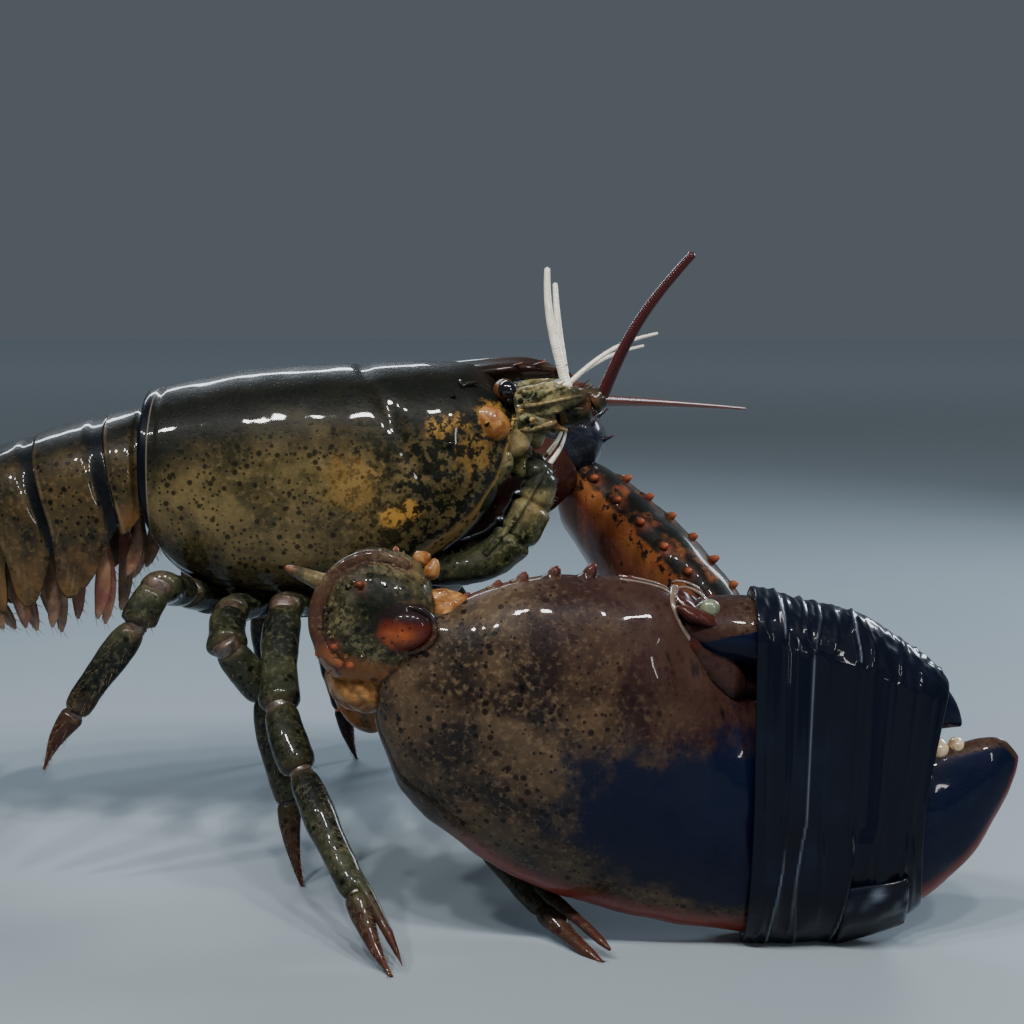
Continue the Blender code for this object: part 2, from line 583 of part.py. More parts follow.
def make_band(frame):
    """Rubber wrap, a closed sleeve, and its free end lying on the outer side."""
    outer = [band_ring(x, slant, BAND_CLEAR + BAND_WALL, BAND_SIDES) for x, slant in BAND_SPAN]
    inner = [band_ring(x, slant, BAND_CLEAR, BAND_SIDES) for x, slant in reversed(BAND_SPAN)]
    rings = outer + inner
    bm = bmesh.new()
    loops = [[bm.verts.new(p) for p in points] for points in rings]
    for k, loop in enumerate(loops):
        after = loops[(k + 1) % len(loops)]
        for j in range(BAND_SIDES):
            n = (j + 1) % BAND_SIDES
            bm.faces.new((loop[j], loop[n], after[n], after[j]))
    sleeve = finish(bm, "claw_band", "rubber")
    tab = []
    for x, slant in ((184.0, -0.10), (192.0, -0.10), (202.0, -0.10), (211.0, -0.10)):
        low = band_ring(x, slant, BAND_CLEAR + BAND_WALL + 0.4, BAND_SIDES)
        high = band_ring(x, slant, BAND_CLEAR + BAND_WALL + 2.6, BAND_SIDES)
        picks = range(11, 15)
        tab.append([low[k] for k in picks] + [high[k] for k in reversed(picks)])
    return place([sleeve, loft("claw_band_end", "rubber", tab)], frame)


# Limbs: each leg has an upper node, base to merus, and a lower node, carpus to claw tip
def limb_stations(points, radii, flat):
    """Stations of a jointed limb: full along each segment, narrow at each joint."""
    stations = []
    for k in range(len(points) - 1):
        a, b = points[k], points[k + 1]
        ra, rb = radii[k], radii[k + 1]
        last = k == len(points) - 2
        for t, share in ((0.0, 0.80), (0.2, 1.0), (0.7, 1.0) if last else (0.82, 1.04)):
            radius = (ra + (rb - ra) * t) * share
            stations.append((a.lerp(b, t), radius * flat, radius))
    stations.append((points[-1], radii[-1] * flat, radii[-1]))
    return stations


def split_limb(name, slot, points, radii, knee, pincer, flat=0.82):
    """Two solids that meet on the plane that halves the knee's bend."""
    bend = ((points[knee] - points[knee - 1]).normalized() + (points[knee + 1] - points[knee]).normalized())
    bend.normalize()
    upper = limb_stations(points[:knee + 1], radii[:knee + 1], flat)
    lower = limb_stations(points[knee:], radii[knee:], flat)
    at = points[knee]
    top = tube(f"{name}_upper", slot, upper, start=1.5, end=0.0, up=Vector((1.0, 0.0, 0.15)))
    foot = tube(f"{name}_lower", slot, lower, start=0.0, end=0.6, up=Vector((1.0, 0.0, 0.15)))
    for piece, direction in ((top, 1.0), (foot, -1.0)):
        cut_beyond(piece, at + bend * (-0.17 * direction), bend * direction)
    if pincer:
        hand, tip = points[-2], points[-1]
        along = (tip - points[-3]).normalized()
        aside = along.cross(Vector((0.0, 1.0, 0.0))).normalized()
        root = hand.lerp(points[-3], 0.25)
        if aside.z < 0.0:
            aside = -aside
        fixed = spine(root + aside * 1.5, tip + aside * 4.5 - along * 2.0, radii[-2] * 0.85, 6)
        fuse(foot, [fixed])
    return top, foot


def cut_beyond(target, point, normal):
    """Cuts away what lies beyond a plane and closes the cut."""
    bm = bmesh.new()
    bm.from_mesh(target.data)
    bmesh.ops.bisect_plane(bm, geom=bm.verts[:] + bm.edges[:] + bm.faces[:], dist=1e-7,
                           plane_co=point * MM, plane_no=normal, clear_outer=True)
    rim = [e for e in bm.edges if e.is_boundary]
    if rim:
        bmesh.ops.holes_fill(bm, edges=rim)
    bmesh.ops.triangulate(bm, faces=bm.faces)
    bmesh.ops.recalc_face_normals(bm, faces=bm.faces)
    bm.to_mesh(target.data)
    bm.free()


def mirrored(p, side):
    return Vector((p[0], side * p[1], p[2]))


LEG_RADII = (9.0, 8.5, 8.8, 7.0, 5.8, 3.6, 1.0)          # at the joints, before the claw's end and at it
KNEE = 2          # the joint where a leg's upper and lower nodes meet
# Places of each leg's joints: root, end of ischium, end of merus, end of carpus, end of palm, tip
RIGHT_LEGS = {
    "leg_1": ((-72, 16, 119), (-68, 32, 98), (-36, 70, 66), (-22, 84, 44), (13, 120, 11), (36, 150, -0.8)),
    "leg_2": ((-94, 16, 119), (-102, 38, 119), (-99, 78, 84), (-88, 98, 62), (-62, 138, 24), (-46, 164, -0.8)),
    "leg_3": ((-117, 16, 119), (-126, 38, 117), (-124, 60, 106), (-109, 51, 83), (-99, 57, 36), (-92, 66, -0.8)),
    "leg_4": ((-139, 16, 121), (-146, 36, 126), (-152, 66, 134), (-160, 72, 118), (-186, 78, 82), (-200, 80, 57)),
}
LEFT_LEGS = {
    "leg_1": ((-72, 16, 119), (-62, 42, 117), (-38, 92, 112), (-26, 104, 88), (-10, 120, 32), (0, 130, -0.8)),
    "leg_2": ((-94, 16, 119), (-90, 42, 118), (-76, 94, 112), (-66, 106, 88), (-50, 122, 32), (-42, 132, -0.8)),
    "leg_3": ((-117, 16, 119), (-116, 42, 118), (-108, 94, 112), (-102, 107, 88), (-92, 124, 32), (-86, 134, -0.8)),
    "leg_4": ((-139, 16, 121), (-141, 42, 119), (-136, 92, 112), (-134, 106, 88), (-128, 124, 32), (-124, 134, -0.8)),
}


def make_legs():
    """Four pairs of walking legs; the first two end in small pincers."""
    made = []
    for side, word, table in ((RIGHT, "right", RIGHT_LEGS), (LEFT, "left", LEFT_LEGS)):
        for name, places in table.items():
            points = [mirrored(p, side) for p in places]
            pincer = name in ("leg_1", "leg_2")
            made.append(split_limb(f"{name}_{word}", "leg_shell", points, LEG_RADII, KNEE, pincer))
    return made


def make_arm(word, points, radii, slot):
    """Upper arm of a claw: ischium and merus."""
    nodes = []
    for label, a, b, ra, rb in (("ischium", points[0], points[1], radii[0], radii[1]),
                                ("merus", points[1], points[2], radii[1], radii[2])):
        stations = []
        for t, share in ((0.0, 0.86), (0.12, 1.0), (0.4, 1.0), (0.75, 1.06), (0.94, 1.04), (1.0, 0.85)):
            radius = (ra + (rb - ra) * t) * share
            stations.append((a.lerp(b, t), radius * 0.82, radius))
        nodes.append(tube(f"{label}_{word}", slot, stations, sides=10, start=1.5, end=1.5))
    return nodes


def make_carpus(word, middle, size, lean, slot, spines):
    """Wrist piece between merus and palm, a rounded block with spines."""
    bm = bmesh.new()
    bmesh.ops.create_uvsphere(bm, u_segments=14, v_segments=8, radius=1.0)
    for vert in bm.verts:
        square = 1.0 + 0.14 * (1.0 - abs(vert.co.z)) * abs(math.sin(2.0 * math.atan2(vert.co.y, vert.co.x)))
        vert.co *= square
    bmesh.ops.scale(bm, vec=size, verts=bm.verts)
    bmesh.ops.rotate(bm, matrix=Matrix.Rotation(lean, 3, "Y"), verts=bm.verts)
    bmesh.ops.translate(bm, vec=middle, verts=bm.verts)
    block = finish(bm, f"carpus_{word}", slot)
    return fuse(block, [spine(Vector(a), Vector(b), r) for a, b, r in spines])


# Block of the mouthparts: station, lower and upper edge, half width
FACE = ((-38.0, 146.0, 190.0, 24.0), (-22.0, 152.0, 205.0, 25.0), (-8.0, 166.0, 213.0, 23.0),
        (2.0, 178.0, 214.0, 19.0), (9.0, 186.0, 211.0, 14.0))


def make_head():
    """Eyes on stalks, feelers on their bases, and the mouth's outer limbs."""
    nodes = []
    face = []
    for x, low, high, half in FACE:
        middle = 0.5 * (low + high)
        ring = []
        for k in range(12):
            side, height = rounded(2.0 * math.pi * (k + 0.5) / 12.0, half, high - middle, middle - low, 2.4)
            ring.append(Vector((x, side, middle + height)))
        face.append(ring)
    nodes.append(loft("mouthparts", "mouth_shell", face, 0.0, 2.0))
    for side, word in ((RIGHT, "right"), (LEFT, "left")):
        eye_at = mirrored(EYE_AT, side)
        stalk_from = Vector((-7.0, side * 8.0, 213.0))
        out = (eye_at - stalk_from).normalized()
        reach = [(stalk_from, 4.0, 4.0), (stalk_from + out * 5.0, 4.6, 4.6), (eye_at - out * 2.6, 5.6, 5.4),
                 (eye_at - out * 0.6, 5.2, 5.0)]
        stalk = tube(f"eyestalk_{word}", "eyestalk", reach, sides=8, start=0.0, end=0.0)
        bm = bmesh.new()
        bmesh.ops.create_uvsphere(bm, u_segments=12, v_segments=7, radius=EYE_R)
        bmesh.ops.translate(bm, vec=eye_at + out * 0.8, verts=bm.verts)
        eye = finish(bm, f"eye_{word}", "eye")
        make_room(stalk, [eye])
        nodes += [stalk, eye]
        nodes += make_feelers(side, word)
    return nodes


# Each long antenna: where it ends, its first and last radius, and its bow
LASHES = {
    "right": (Vector((78.0, -40.0, 275.0)), 3.3, 2.0, Vector((-3.4, 0.0, 2.0))),
    "left": (Vector((120.0, 93.0, 197.5)), 3.1, 0.9, Vector((0.0, 0.0, 0.5))),
}
# The two lashes of each antennule: where each ends, its radius and its bow
FORKS = {
    "right": ((Vector((16.0, -3.0, 269.0)), 2.5, Vector((-3.0, 0.0, 3.0))),
              (Vector((67.0, 4.0, 239.5)), 1.3, Vector((0.0, 0.0, 4.5)))),
    "left": ((Vector((20.0, 13.0, 262.0)), 2.2, Vector((-1.0, 0.0, 3.0))),
             (Vector((62.0, 22.0, 233.0)), 1.2, Vector((0.0, 0.0, 3.0)))),
}


def make_feelers(side, word):
    """Long antenna with its jointed base and scale, and the short forked antennule."""
    droop = 0.0 if side == RIGHT else 4.5
    root = Vector((3.0, side * 17.0, 203.5))
    knee = Vector((20.0, side * 19.0, 205.5))
    wrist = Vector((35.0, side * 17.5, 208.5 - 0.6 * droop))
    hand = Vector((40.5, side * 16.0, 212.0 - droop))
    joints = [(root, 9.0, 9.5), (root.lerp(knee, 0.5), 9.6, 10.2), (knee, 8.6, 8.8),
              (knee.lerp(wrist, 0.4), 8.8, 8.4), (wrist, 7.4, 7.0), (wrist.lerp(hand, 0.5), 6.2, 6.0),
              (hand, 4.2, 4.2)]
    base = tube(f"antenna_base_{word}", "mouth_shell", joints, sides=8, start=0.0, end=0.0)
    blade = [(Vector((2.0, side * 22.0, 209.0)), 2.2, 5.0), (Vector((14.0, side * 28.5, 211.0)), 2.0, 7.5),
             (Vector((26.0, side * 29.0, 212.5)), 1.4, 5.0), (Vector((35.0, side * 26.5, 213.5)), 0.4, 0.8)]
    fuse(base, [tube("scale", "mouth_shell", blade, sides=5)])
    lash_end, first, last, sag = LASHES[word]
    begin = hand + (lash_end - hand).normalized() * 0.5
    stations = []
    for k in range(8):
        t = k / 7.0
        middle = begin.lerp(lash_end, t) + sag * math.sin(math.pi * t)
        radius = first + (last - first) * t ** 0.8
        stations.append((middle, radius, radius))
    lash = tube(f"antenna_{word}", "feeler", stations, sides=8, start=0.0, end=0.8)
    make_room(base, [lash])
    stem_from, stem_to = Vector((7.0, side * 5.5, 211.5)), Vector((27.0, side * 5.5, 216.5))
    stem_path = [(stem_from, 3.4, 3.2), (stem_from.lerp(stem_to, 0.5), 3.6, 3.2), (stem_to, 2.8, 2.6)]
    stem = tube(f"antennule_{word}", "pale_feeler", stem_path, sides=8, start=0.0, end=0.6)
    forks = []
    for end, radius, swell in FORKS[word]:
        path = []
        for k in range(5):
            t = k / 4.0
            middle = (stem_to - Vector((3.0, 0.0, 0.5))).lerp(end, t) + swell * math.sin(math.pi * t)
            width = radius * (1.0 - 0.45 * t)
            path.append((middle, width, width))
        forks.append(tube("fork", "pale_feeler", path, sides=5, start=0.3, end=0.5, up=Vector((0.0, 1.0, 0.0))))
    return [base, lash, fuse(stem, forks)]


# Course of each outer mouth limb and its radius
MAXILLIPED = ((-46.0, 17.0, 131.0, 7.0), (-34.0, 17.5, 132.0, 8.5), (-18.0, 18.0, 134.5, 9.0),
              (-5.0, 17.5, 140.0, 9.5), (4.0, 16.5, 149.0, 10.0), (10.0, 15.5, 160.0, 9.5),
              (14.0, 14.0, 170.0, 7.5), (12.0, 13.0, 178.0, 6.0), (5.0, 11.5, 183.0, 3.0))


def make_maxilliped(side, word):
    """Outer mouth limb, folded up in front of the mouth."""
    stations = [(Vector((x, side * y, z)), r * 0.72, r) for x, y, z, r in MAXILLIPED]
    outward = Vector((0.0, side, 0.0))
    return tube(f"maxilliped_{word}", "mouth_shell", stations, sides=8, up=outward)


# Breastplate: station, half width, underside
STERNUM = ((-152.0, 15.0, 121.0), (-140.0, 20.0, 116.0), (-110.0, 20.0, 114.0), (-80.0, 18.0, 114.0),
           (-55.0, 16.0, 116.0), (-36.0, 12.0, 126.0))


def make_sternum():
    """Breastplate between the legs."""
    rings = []
    for x, half, low in STERNUM:
        ring = []
        for k in range(10):
            side, height = rounded(2.0 * math.pi * (k + 0.5) / 10.0, half, 14.0, 130.0 - low, 2.6)
            ring.append(Vector((x, side, 130.0 + height)))
        rings.append(ring)
    return loft("sternum", "underside", rings)


def build():
    """All nodes, then their clearances, then the flats they rest on."""
    carapace = make_carapace()
    sternum = make_room(make_sternum(), [carapace])
    joints = tail_joints()
    somites = [make_somite(k, joints) for k in range(6)]
    for k in range(1, 6):
        make_room(somites[k], [somites[k - 1]])
    fan = make_fan(joints)
    make_room(fan[0], [somites[5]])
    for k in range(1, 5):
        make_room(fan[k], [somites[5], fan[0]] + ([fan[k - 1]] if k in (2, 4) else []))
    legs = make_legs()
    for upper, lower in legs:
        make_room(upper, [carapace, sternum])
        trim_flat(lower)
    right_frame = claw_frame(WRIST_RIGHT, CLAW_DROP_RIGHT, 0.0, 0.0)
    left_frame = claw_frame(WRIST_LEFT, CLAW_DROP_LEFT, CLAW_TURN_LEFT, CLAW_ROLL_LEFT)
    spines = claw_spines(CRUSHER, ((44.0, 0.9), (56.0, 0.5), (68.0, 1.1), (86.0, 0.7)), 0.0, 6.0, 4.2)
    spines += claw_spines(CRUSHER, ((40.0, 1.0), (60.0, 0.8), (82.0, 1.0), (102.0, 0.7)), 0.45, 5.0, 3.6)
    palm_right, finger_right = make_claw("right", CRUSHER, right_frame, CRUSHER_TEETH, spines, "claw_shell")
    band, band_end = make_band(right_frame)
    make_room(band, [palm_right, finger_right])
    make_room(band_end, [band])
    inner_row = [(18.0 + 17.0 * k, 1.0 + 0.15 * (k % 2)) for k in range(6)]
    outer_row = [(26.0 + 18.0 * k, 1.0) for k in range(5)]
    spines = claw_spines(CUTTER, inner_row, -0.35, 8.0, 3.4) + claw_spines(CUTTER, outer_row, 0.35, 8.0, 3.4)
    palm_left, finger_left = make_claw("left", CUTTER, left_frame, CUTTER_TEETH, spines, "pale_claw_shell")
    right_arm = [Vector((-46.0, -17.0, 116.0)), Vector((-36.0, -50.0, 104.0)), Vector((-62.0, -104.0, 97.0))]
    left_arm = [Vector((-46.0, 17.0, 116.0)), Vector((-34.0, 44.0, 124.0)), Vector((24.0, 90.0, 172.0))]
    ischium_right, merus_right = make_arm("right", right_arm, (13.0, 15.0, 18.0), "shell")
    ischium_left, merus_left = make_arm("left", left_arm, (13.0, 15.0, 17.0), "shell")
    carpus_right = make_carpus("right", Vector((-54.0, -122.0, 131.0)), (25.0, 24.0, 29.0), 0.2, "shell", (
        ((-72.0, -128.0, 146.0), (-91.0, -132.0, 155.0), 3.4), ((-38.0, -128.0, 148.0), (-30.0, -131.0, 163.0), 3.4),
        ((-58.0, -138.0, 148.0), (-58.0, -150.0, 155.0), 2.8), ((-70.0, -134.0, 122.0), (-82.0, -142.0, 120.0), 2.8),
        ((-50.0, -116.0, 150.0), (-46.0, -110.0, 165.0), 3.0)))
    carpus_left = make_carpus("left", Vector((30.5, 102.0, 181.0)), (18.0, 19.5, 19.5), -0.4, "shell", (
        ((33.0, 96.0, 194.0), (37.0, 92.0, 205.0), 2.8), ((41.0, 108.0, 190.0), (51.0, 110.0, 197.0), 2.8),
        ((27.0, 88.0, 185.0), (27.0, 78.0, 193.0), 2.6)))
    mouth, *head = make_head()
    maxillipeds = [make_maxilliped(RIGHT, "right"), make_maxilliped(LEFT, "left")]
    parts = {o.name: o for o in head}
    make_room(mouth, [carapace])
    for node in maxillipeds:
        make_room(node, [carapace, sternum, mouth, ischium_right, ischium_left])
    for word in ("right", "left"):
        make_room(parts[f"eyestalk_{word}"], [carapace, mouth])
        make_room(parts[f"antennule_{word}"], [carapace, mouth])
        inner = [parts[f"antennule_{word}"], parts[f"eyestalk_{word}"], parts[f"eye_{word}"]]
        make_room(parts[f"antenna_base_{word}"], [carapace, mouth] + inner)
    for ischium, merus, carpus, palm in ((ischium_right, merus_right, carpus_right, palm_right),
                                         (ischium_left, merus_left, carpus_left, palm_left)):
        make_room(ischium, [carapace, sternum])
        make_room(merus, [ischium])
        make_room(carpus, [merus])
        make_room(palm, [carpus, merus])
    for node in (palm_left, finger_left, band, band_end, palm_right):
        trim_flat(node)


build()
everything = [o for o in bpy.context.scene.collection.objects if o.type == "MESH"]
corners = [o.matrix_world @ v.co for o in everything for v in o.data.vertices]
low = Vector([min(c[k] for c in corners) for k in range(3)])
high = Vector([max(c[k] for c in corners) for k in range(3)])
to_origin = Matrix.Translation(Vector((-0.5 * (low.x + high.x), -0.5 * (low.y + high.y), -low.z)))
for node in everything:
    node.data.transform(to_origin)
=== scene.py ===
"""The looks of a life-size american lobster on its legs, its heavy right claw wrapped in black rubber.

Pieces are shaped in millimetres in the animal's own frame, X to the head, Y to its left, Z up from
the floor, and put in place in metres when a mesh is made.
"""

import math
import random

import bmesh
import bpy
from mathutils import Matrix, Vector, noise


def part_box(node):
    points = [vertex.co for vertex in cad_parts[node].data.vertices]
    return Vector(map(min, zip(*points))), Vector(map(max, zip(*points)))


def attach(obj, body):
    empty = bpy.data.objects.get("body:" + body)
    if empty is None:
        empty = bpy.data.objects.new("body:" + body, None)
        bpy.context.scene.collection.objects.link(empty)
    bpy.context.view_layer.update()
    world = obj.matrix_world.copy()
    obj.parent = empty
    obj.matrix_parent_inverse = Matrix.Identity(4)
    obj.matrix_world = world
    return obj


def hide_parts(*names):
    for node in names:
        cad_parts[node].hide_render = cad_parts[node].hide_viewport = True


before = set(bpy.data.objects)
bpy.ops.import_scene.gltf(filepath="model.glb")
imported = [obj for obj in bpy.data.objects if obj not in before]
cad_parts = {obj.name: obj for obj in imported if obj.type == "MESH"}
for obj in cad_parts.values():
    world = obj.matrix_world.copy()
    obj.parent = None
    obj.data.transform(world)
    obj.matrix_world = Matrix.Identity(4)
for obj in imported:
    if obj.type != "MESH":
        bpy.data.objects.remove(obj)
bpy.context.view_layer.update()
random.seed(7)


# The view: a camera eight degrees above the right side of the animal, level across, close
# enough that the heavy claw, which is nearer, looks larger than the body.
SHIELD_REAR_TO_HOME = 0.165
CAMERA_BACK, CAMERA_HIGH, CAMERA_DIP = 0.7922, 0.2683, math.radians(8.0)
shield_low, shield_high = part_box("carapace")
HOME = Vector((shield_low.x + SHIELD_REAR_TO_HOME, 0.5 * (shield_low.y + shield_high.y), 0.0))
camera_data = bpy.data.cameras.new("camera")
camera_data.sensor_width = 36.0
camera_data.lens = 60.47
camera_data.clip_end = 30.0
camera = bpy.data.objects.new("camera", camera_data)
camera.location = HOME + Vector((0.0, -CAMERA_BACK, CAMERA_HIGH))
camera.rotation_euler = (math.radians(90.0) - CAMERA_DIP, 0.0, 0.0)
bpy.context.scene.collection.objects.link(camera)
bpy.context.scene.camera = camera


def lamp(name, place, aim, size, power, colour=(1.0, 0.98, 0.95)):
    """Hangs a soft box at a place, in metres from the middle of the animal, and turns it to a point."""
    data = bpy.data.lights.new(name, "AREA")
    data.shape = "RECTANGLE"
    data.size, data.size_y = size
    data.energy = power
    data.color = colour
    box = bpy.data.objects.new(name, data)
    box.location = Vector(place)
    box.rotation_euler = (Vector(aim) - box.location).to_track_quat("-Z", "Y").to_euler()
    bpy.context.scene.collection.objects.link(box)


for number in range(5):
    lamp(f"bulb_{number + 1}", (-0.62 + 0.30 * number, -0.55 - 0.06 * number, 1.15), (0.0, 0.0, 0.10),
         (0.07, 0.07), 5.0)
lamp("standing_tube", (0.78, -0.95, 0.52), (0.15, -0.12, 0.20), (0.03, 0.34), 1.6)
lamp("rim_light", (-0.45, 0.95, 0.95), (0.0, 0.0, 0.15), (0.90, 0.12), 8.0, (0.80, 0.90, 1.0))
lamp("far_light", (0.85, 0.70, 0.60), (0.10, 0.05, 0.12), (0.30, 0.30), 6.0, (0.80, 0.90, 1.0))
world = bpy.data.worlds.new("studio")
world.use_nodes = True
world.node_tree.nodes["Background"].inputs["Color"].default_value = (0.70, 0.83, 0.96, 1.0)
world.node_tree.nodes["Background"].inputs["Strength"].default_value = 0.125
bpy.context.scene.world = world


class Tone:
    """One value of a finish, so that its sums can be written as they are thought."""

    def __init__(self, finish, socket):
        self.finish = finish
        self.socket = socket

    def sum(self, operation, first, second):
        return self.finish.add("ShaderNodeMath", {"operation": operation}, {0: first, 1: second})

    def __add__(self, other):
        return self.sum("ADD", self, other)

    __radd__ = __add__

    def __sub__(self, other):
        return self.sum("SUBTRACT", self, other)

    def __rsub__(self, other):
        return self.sum("SUBTRACT", other, self)

    def __mul__(self, other):
        return self.sum("MULTIPLY", self, other)

    __rmul__ = __mul__

    def __truediv__(self, other):
        return self.sum("DIVIDE", self, other)

    def __rtruediv__(self, other):
        return self.sum("DIVIDE", other, self)

    def most(self, other):
        return self.sum("MAXIMUM", self, other)

    def step(self, low, high):
        """Nought below low, one above high, smooth between; the other way round where low is above high."""
        return self.finish.add("ShaderNodeMapRange", {"interpolation_type": "SMOOTHSTEP"},
                               {"Value": self, "From Min": low, "From Max": high})


MM = 0.001


class Finish:
    """A material made of nodes, with one method that adds any node."""

    def __init__(self, name, **fixed):
        self.material = bpy.data.materials.new(name)
        self.material.use_nodes = True
        self.tree = self.material.node_tree
        self.shader = self.tree.nodes["Principled BSDF"]
        self.traits = []
        for socket, value in fixed.items():
            self.shader.inputs[socket.replace("_", " ")].default_value = value
        self.place = self.add("ShaderNodeTexCoord", {}, {}, "Object")

    def add(self, kind, settings, sockets, out=0):
        """Adds a node: its type, its settings, the values or links of its sockets, and the output wanted."""
        node = self.tree.nodes.new(kind)
        for setting, value in settings.items():
            setattr(node, setting, value)
        for socket, value in sockets.items():
            self.join(node.inputs[socket], value)
        return Tone(self, node.outputs[out])

    def join(self, socket, value):
        if isinstance(value, Tone):
            self.tree.links.new(value.socket, socket)
        elif isinstance(value, tuple) and len(value) == 3 and socket.type == "RGBA":
            socket.default_value = (*value, 1.0)
        else:
            socket.default_value = value

    def feed(self, **sockets):
        """Joins tones to the shader's own sockets."""
        for socket, value in sockets.items():
            self.join(self.shader.inputs[socket.replace("_", " ")], value)

    def cloud(self, scale, detail=4.0, roughness=0.55, warp=0.0):
        """Cloudy noise from nought to one; scale is blotches per metre."""
        return self.add("ShaderNodeTexNoise", {}, {"Vector": self.place, "Scale": scale, "Detail": detail,
                                                   "Roughness": roughness, "Distortion": warp})

    def cells(self, scale, feature="F1", out=0):
        """Distance to the nearest of scattered points, scale of them per metre."""
        return self.add("ShaderNodeTexVoronoi", {"feature": feature}, {"Vector": self.place,
                                                                       "Scale": scale}, out)

    def flecks(self, scale, size, share):
        """Round spots: how many per metre, how large beside their spacing, and what share is there."""
        there = self.cells(scale, out=1).step(1.0 - share, 1.02 - share)
        return self.cells(scale).step(size, size * 0.55) * there

    def trait(self, name):
        """A number kept on the mesh's points; nought on a mesh that has none of it."""
        if name not in self.traits:
            self.traits.append(name)
        return self.add("ShaderNodeAttribute", {"attribute_name": name}, {}, "Fac")

    def height(self):
        """Height above the floor in millimetres."""
        split = self.add("ShaderNodeSeparateXYZ", {}, {0: self.place}, 2)
        return split * 1000.0

    def near(self, centre, radius, soft=0.35):
        """One inside a ball round a place of the animal, in millimetres, with a ragged edge."""
        middle = Vector(centre) * MM + HOME
        away = self.add("ShaderNodeVectorMath", {"operation": "DISTANCE"}, {0: self.place, 1: middle}, "Value")
        ragged = away * 1000.0 + (self.cloud(190.0, 4.0, 0.6) - 0.5) * radius * 1.9
        return ragged.step(radius * (1.0 + soft), radius * (1.0 - soft))

    def blend(self, share, under, over):
        """Lays one colour over another by a share."""
        return self.add("ShaderNodeMix", {"data_type": "RGBA"}, {0: share, 6: under, 7: over}, 2)

    def layers(self, tint, over):
        """Lays colours over a first one in turn, each by its share."""
        for share, colour in over:
            tint = self.blend(share, tint, colour)
        return tint

    def relief(self, height, depth, strength=1.0):
        """Turns a height into bumps, depth in millimetres."""
        return self.add("ShaderNodeBump", {}, {"Height": height, "Distance": depth * MM, "Strength": strength})


def mottled(name, scale, under, over, **fixed):
    """A finish of two colours in clouds."""
    finish = Finish(name, **fixed)
    finish.feed(Base_Color=finish.blend(finish.cloud(scale), under, over))
    return finish


# The floor: a darker blue-grey near the animal, painted paler with distance. This painted light stands in for
# the lamps' light, which falls off towards the back.
floor_finish = Finish("pale_floor", Roughness=0.55)
painted_far_light = floor_finish.add("ShaderNodeVectorMath", {"operation": "LENGTH"}, {0: floor_finish.place},
                           "Value").step(0.9, 4.2)
near_floor = floor_finish.blend(floor_finish.cloud(3.0), (0.22, 0.27, 0.31), (0.27, 0.32, 0.36))
floor_finish.feed(Base_Color=floor_finish.blend(painted_far_light, near_floor, (0.84, 0.90, 0.96)))
floor_mesh = bmesh.new()
bmesh.ops.create_grid(floor_mesh, x_segments=1, y_segments=1, size=6.0)
floor_data = bpy.data.meshes.new("floor")
floor_mesh.to_mesh(floor_data)
floor_mesh.free()
floor = bpy.data.objects.new("floor", floor_data)
floor_data.materials.append(floor_finish.material)
bpy.context.scene.collection.objects.link(floor)


# Carapace: the one-piece shield over head and thorax, lime-hardened shell about 1.5 mm thick with a
# clear wet skin, folded down at the sides over the gills. It is grown whole at each moult.
REAR_X, BROW_X, BELLY_Z = -165.0, 1.0, 121.0
# the shield's outline from the side, its half width, and the neck groove's place by height
CARAPACE_TOP = [(REAR_X, 214.5), (-143.0, 219.5), (-115.0, 223.5), (-65.0, 226.5), (-37.0, 227.0),
                (-18.0, 226.0), (-9.0, 221.0), (-3.0, 212.0), (BROW_X, 205.0)]
CARAPACE_FOOT = [(REAR_X, 152.0), (-163.0, 147.0), (-156.0, 136.0), (-147.0, 128.0), (-136.0, 124.0),
                 (-112.0, BELLY_Z), (-84.0, BELLY_Z), (-62.0, 124.0), (-45.0, 131.0), (-32.0, 139.5),
                 (-19.0, 149.0), (-10.0, 161.0), (-5.0, 171.0), (-1.0, 187.0), (BROW_X, 197.0)]
CARAPACE_HALF = [(REAR_X, 40.0), (-145.0, 44.0), (-95.0, 47.0), (-55.0, 46.0), (-30.0, 41.0),
                 (-12.0, 33.0), (BROW_X, 25.0)]
GROOVE_HALF, REAR_HEM, WIDEST = 3.6, 5.5, 0.47
GROOVE = [(110.0, -20.0), (165.0, -33.0), (190.0, -46.0), (210.0, -56.0), (228.0, -70.0)]


def curve(keys, at):
    """Smooth curve through (position, value) keys, level past both ends."""
    if at <= keys[0][0]:
        return keys[0][1]
    if at >= keys[-1][0]:
        return keys[-1][1]
    i = next(k for k in range(len(keys) - 1) if keys[k + 1][0] >= at)
    (x0, y0), (x1, y1) = keys[i], keys[i + 1]
    before = keys[i - 1] if i > 0 else keys[i]
    after = keys[i + 2] if i + 2 < len(keys) else keys[i + 1]
    slope0 = (y1 - before[1]) / (x1 - before[0])
    slope1 = (after[1] - y0) / (after[0] - x0)
    span = x1 - x0
    t = (at - x0) / span
    return ((2 * t ** 3 - 3 * t ** 2 + 1) * y0 + (t ** 3 - 2 * t ** 2 + t) * span * slope0
            + (3 * t ** 2 - 2 * t ** 3) * y1 + (t ** 3 - t ** 2) * span * slope1)


def clipped(value):
    """A share, kept between nought and one."""
    return min(1.0, max(0.0, value))


def bell(away, width):
    """A round bump: one in its middle, next to nought at twice its width away."""
    return math.exp(-(away / width) ** 2)


def column(rows, k):
    """Keys of a curve: the first number of each row, and its number k."""
    return [(row[0], row[k]) for row in rows]


def rounded(angle, half_width, up, down, power):
    """A point of a superellipse: its sideways and upward distance from the middle."""
    c, s = math.cos(angle), math.sin(angle)
    side = half_width * math.copysign(abs(c) ** (2.0 / power), c)
    return side, (up if s > 0.0 else down) * math.copysign(abs(s) ** (2.0 / power), s)


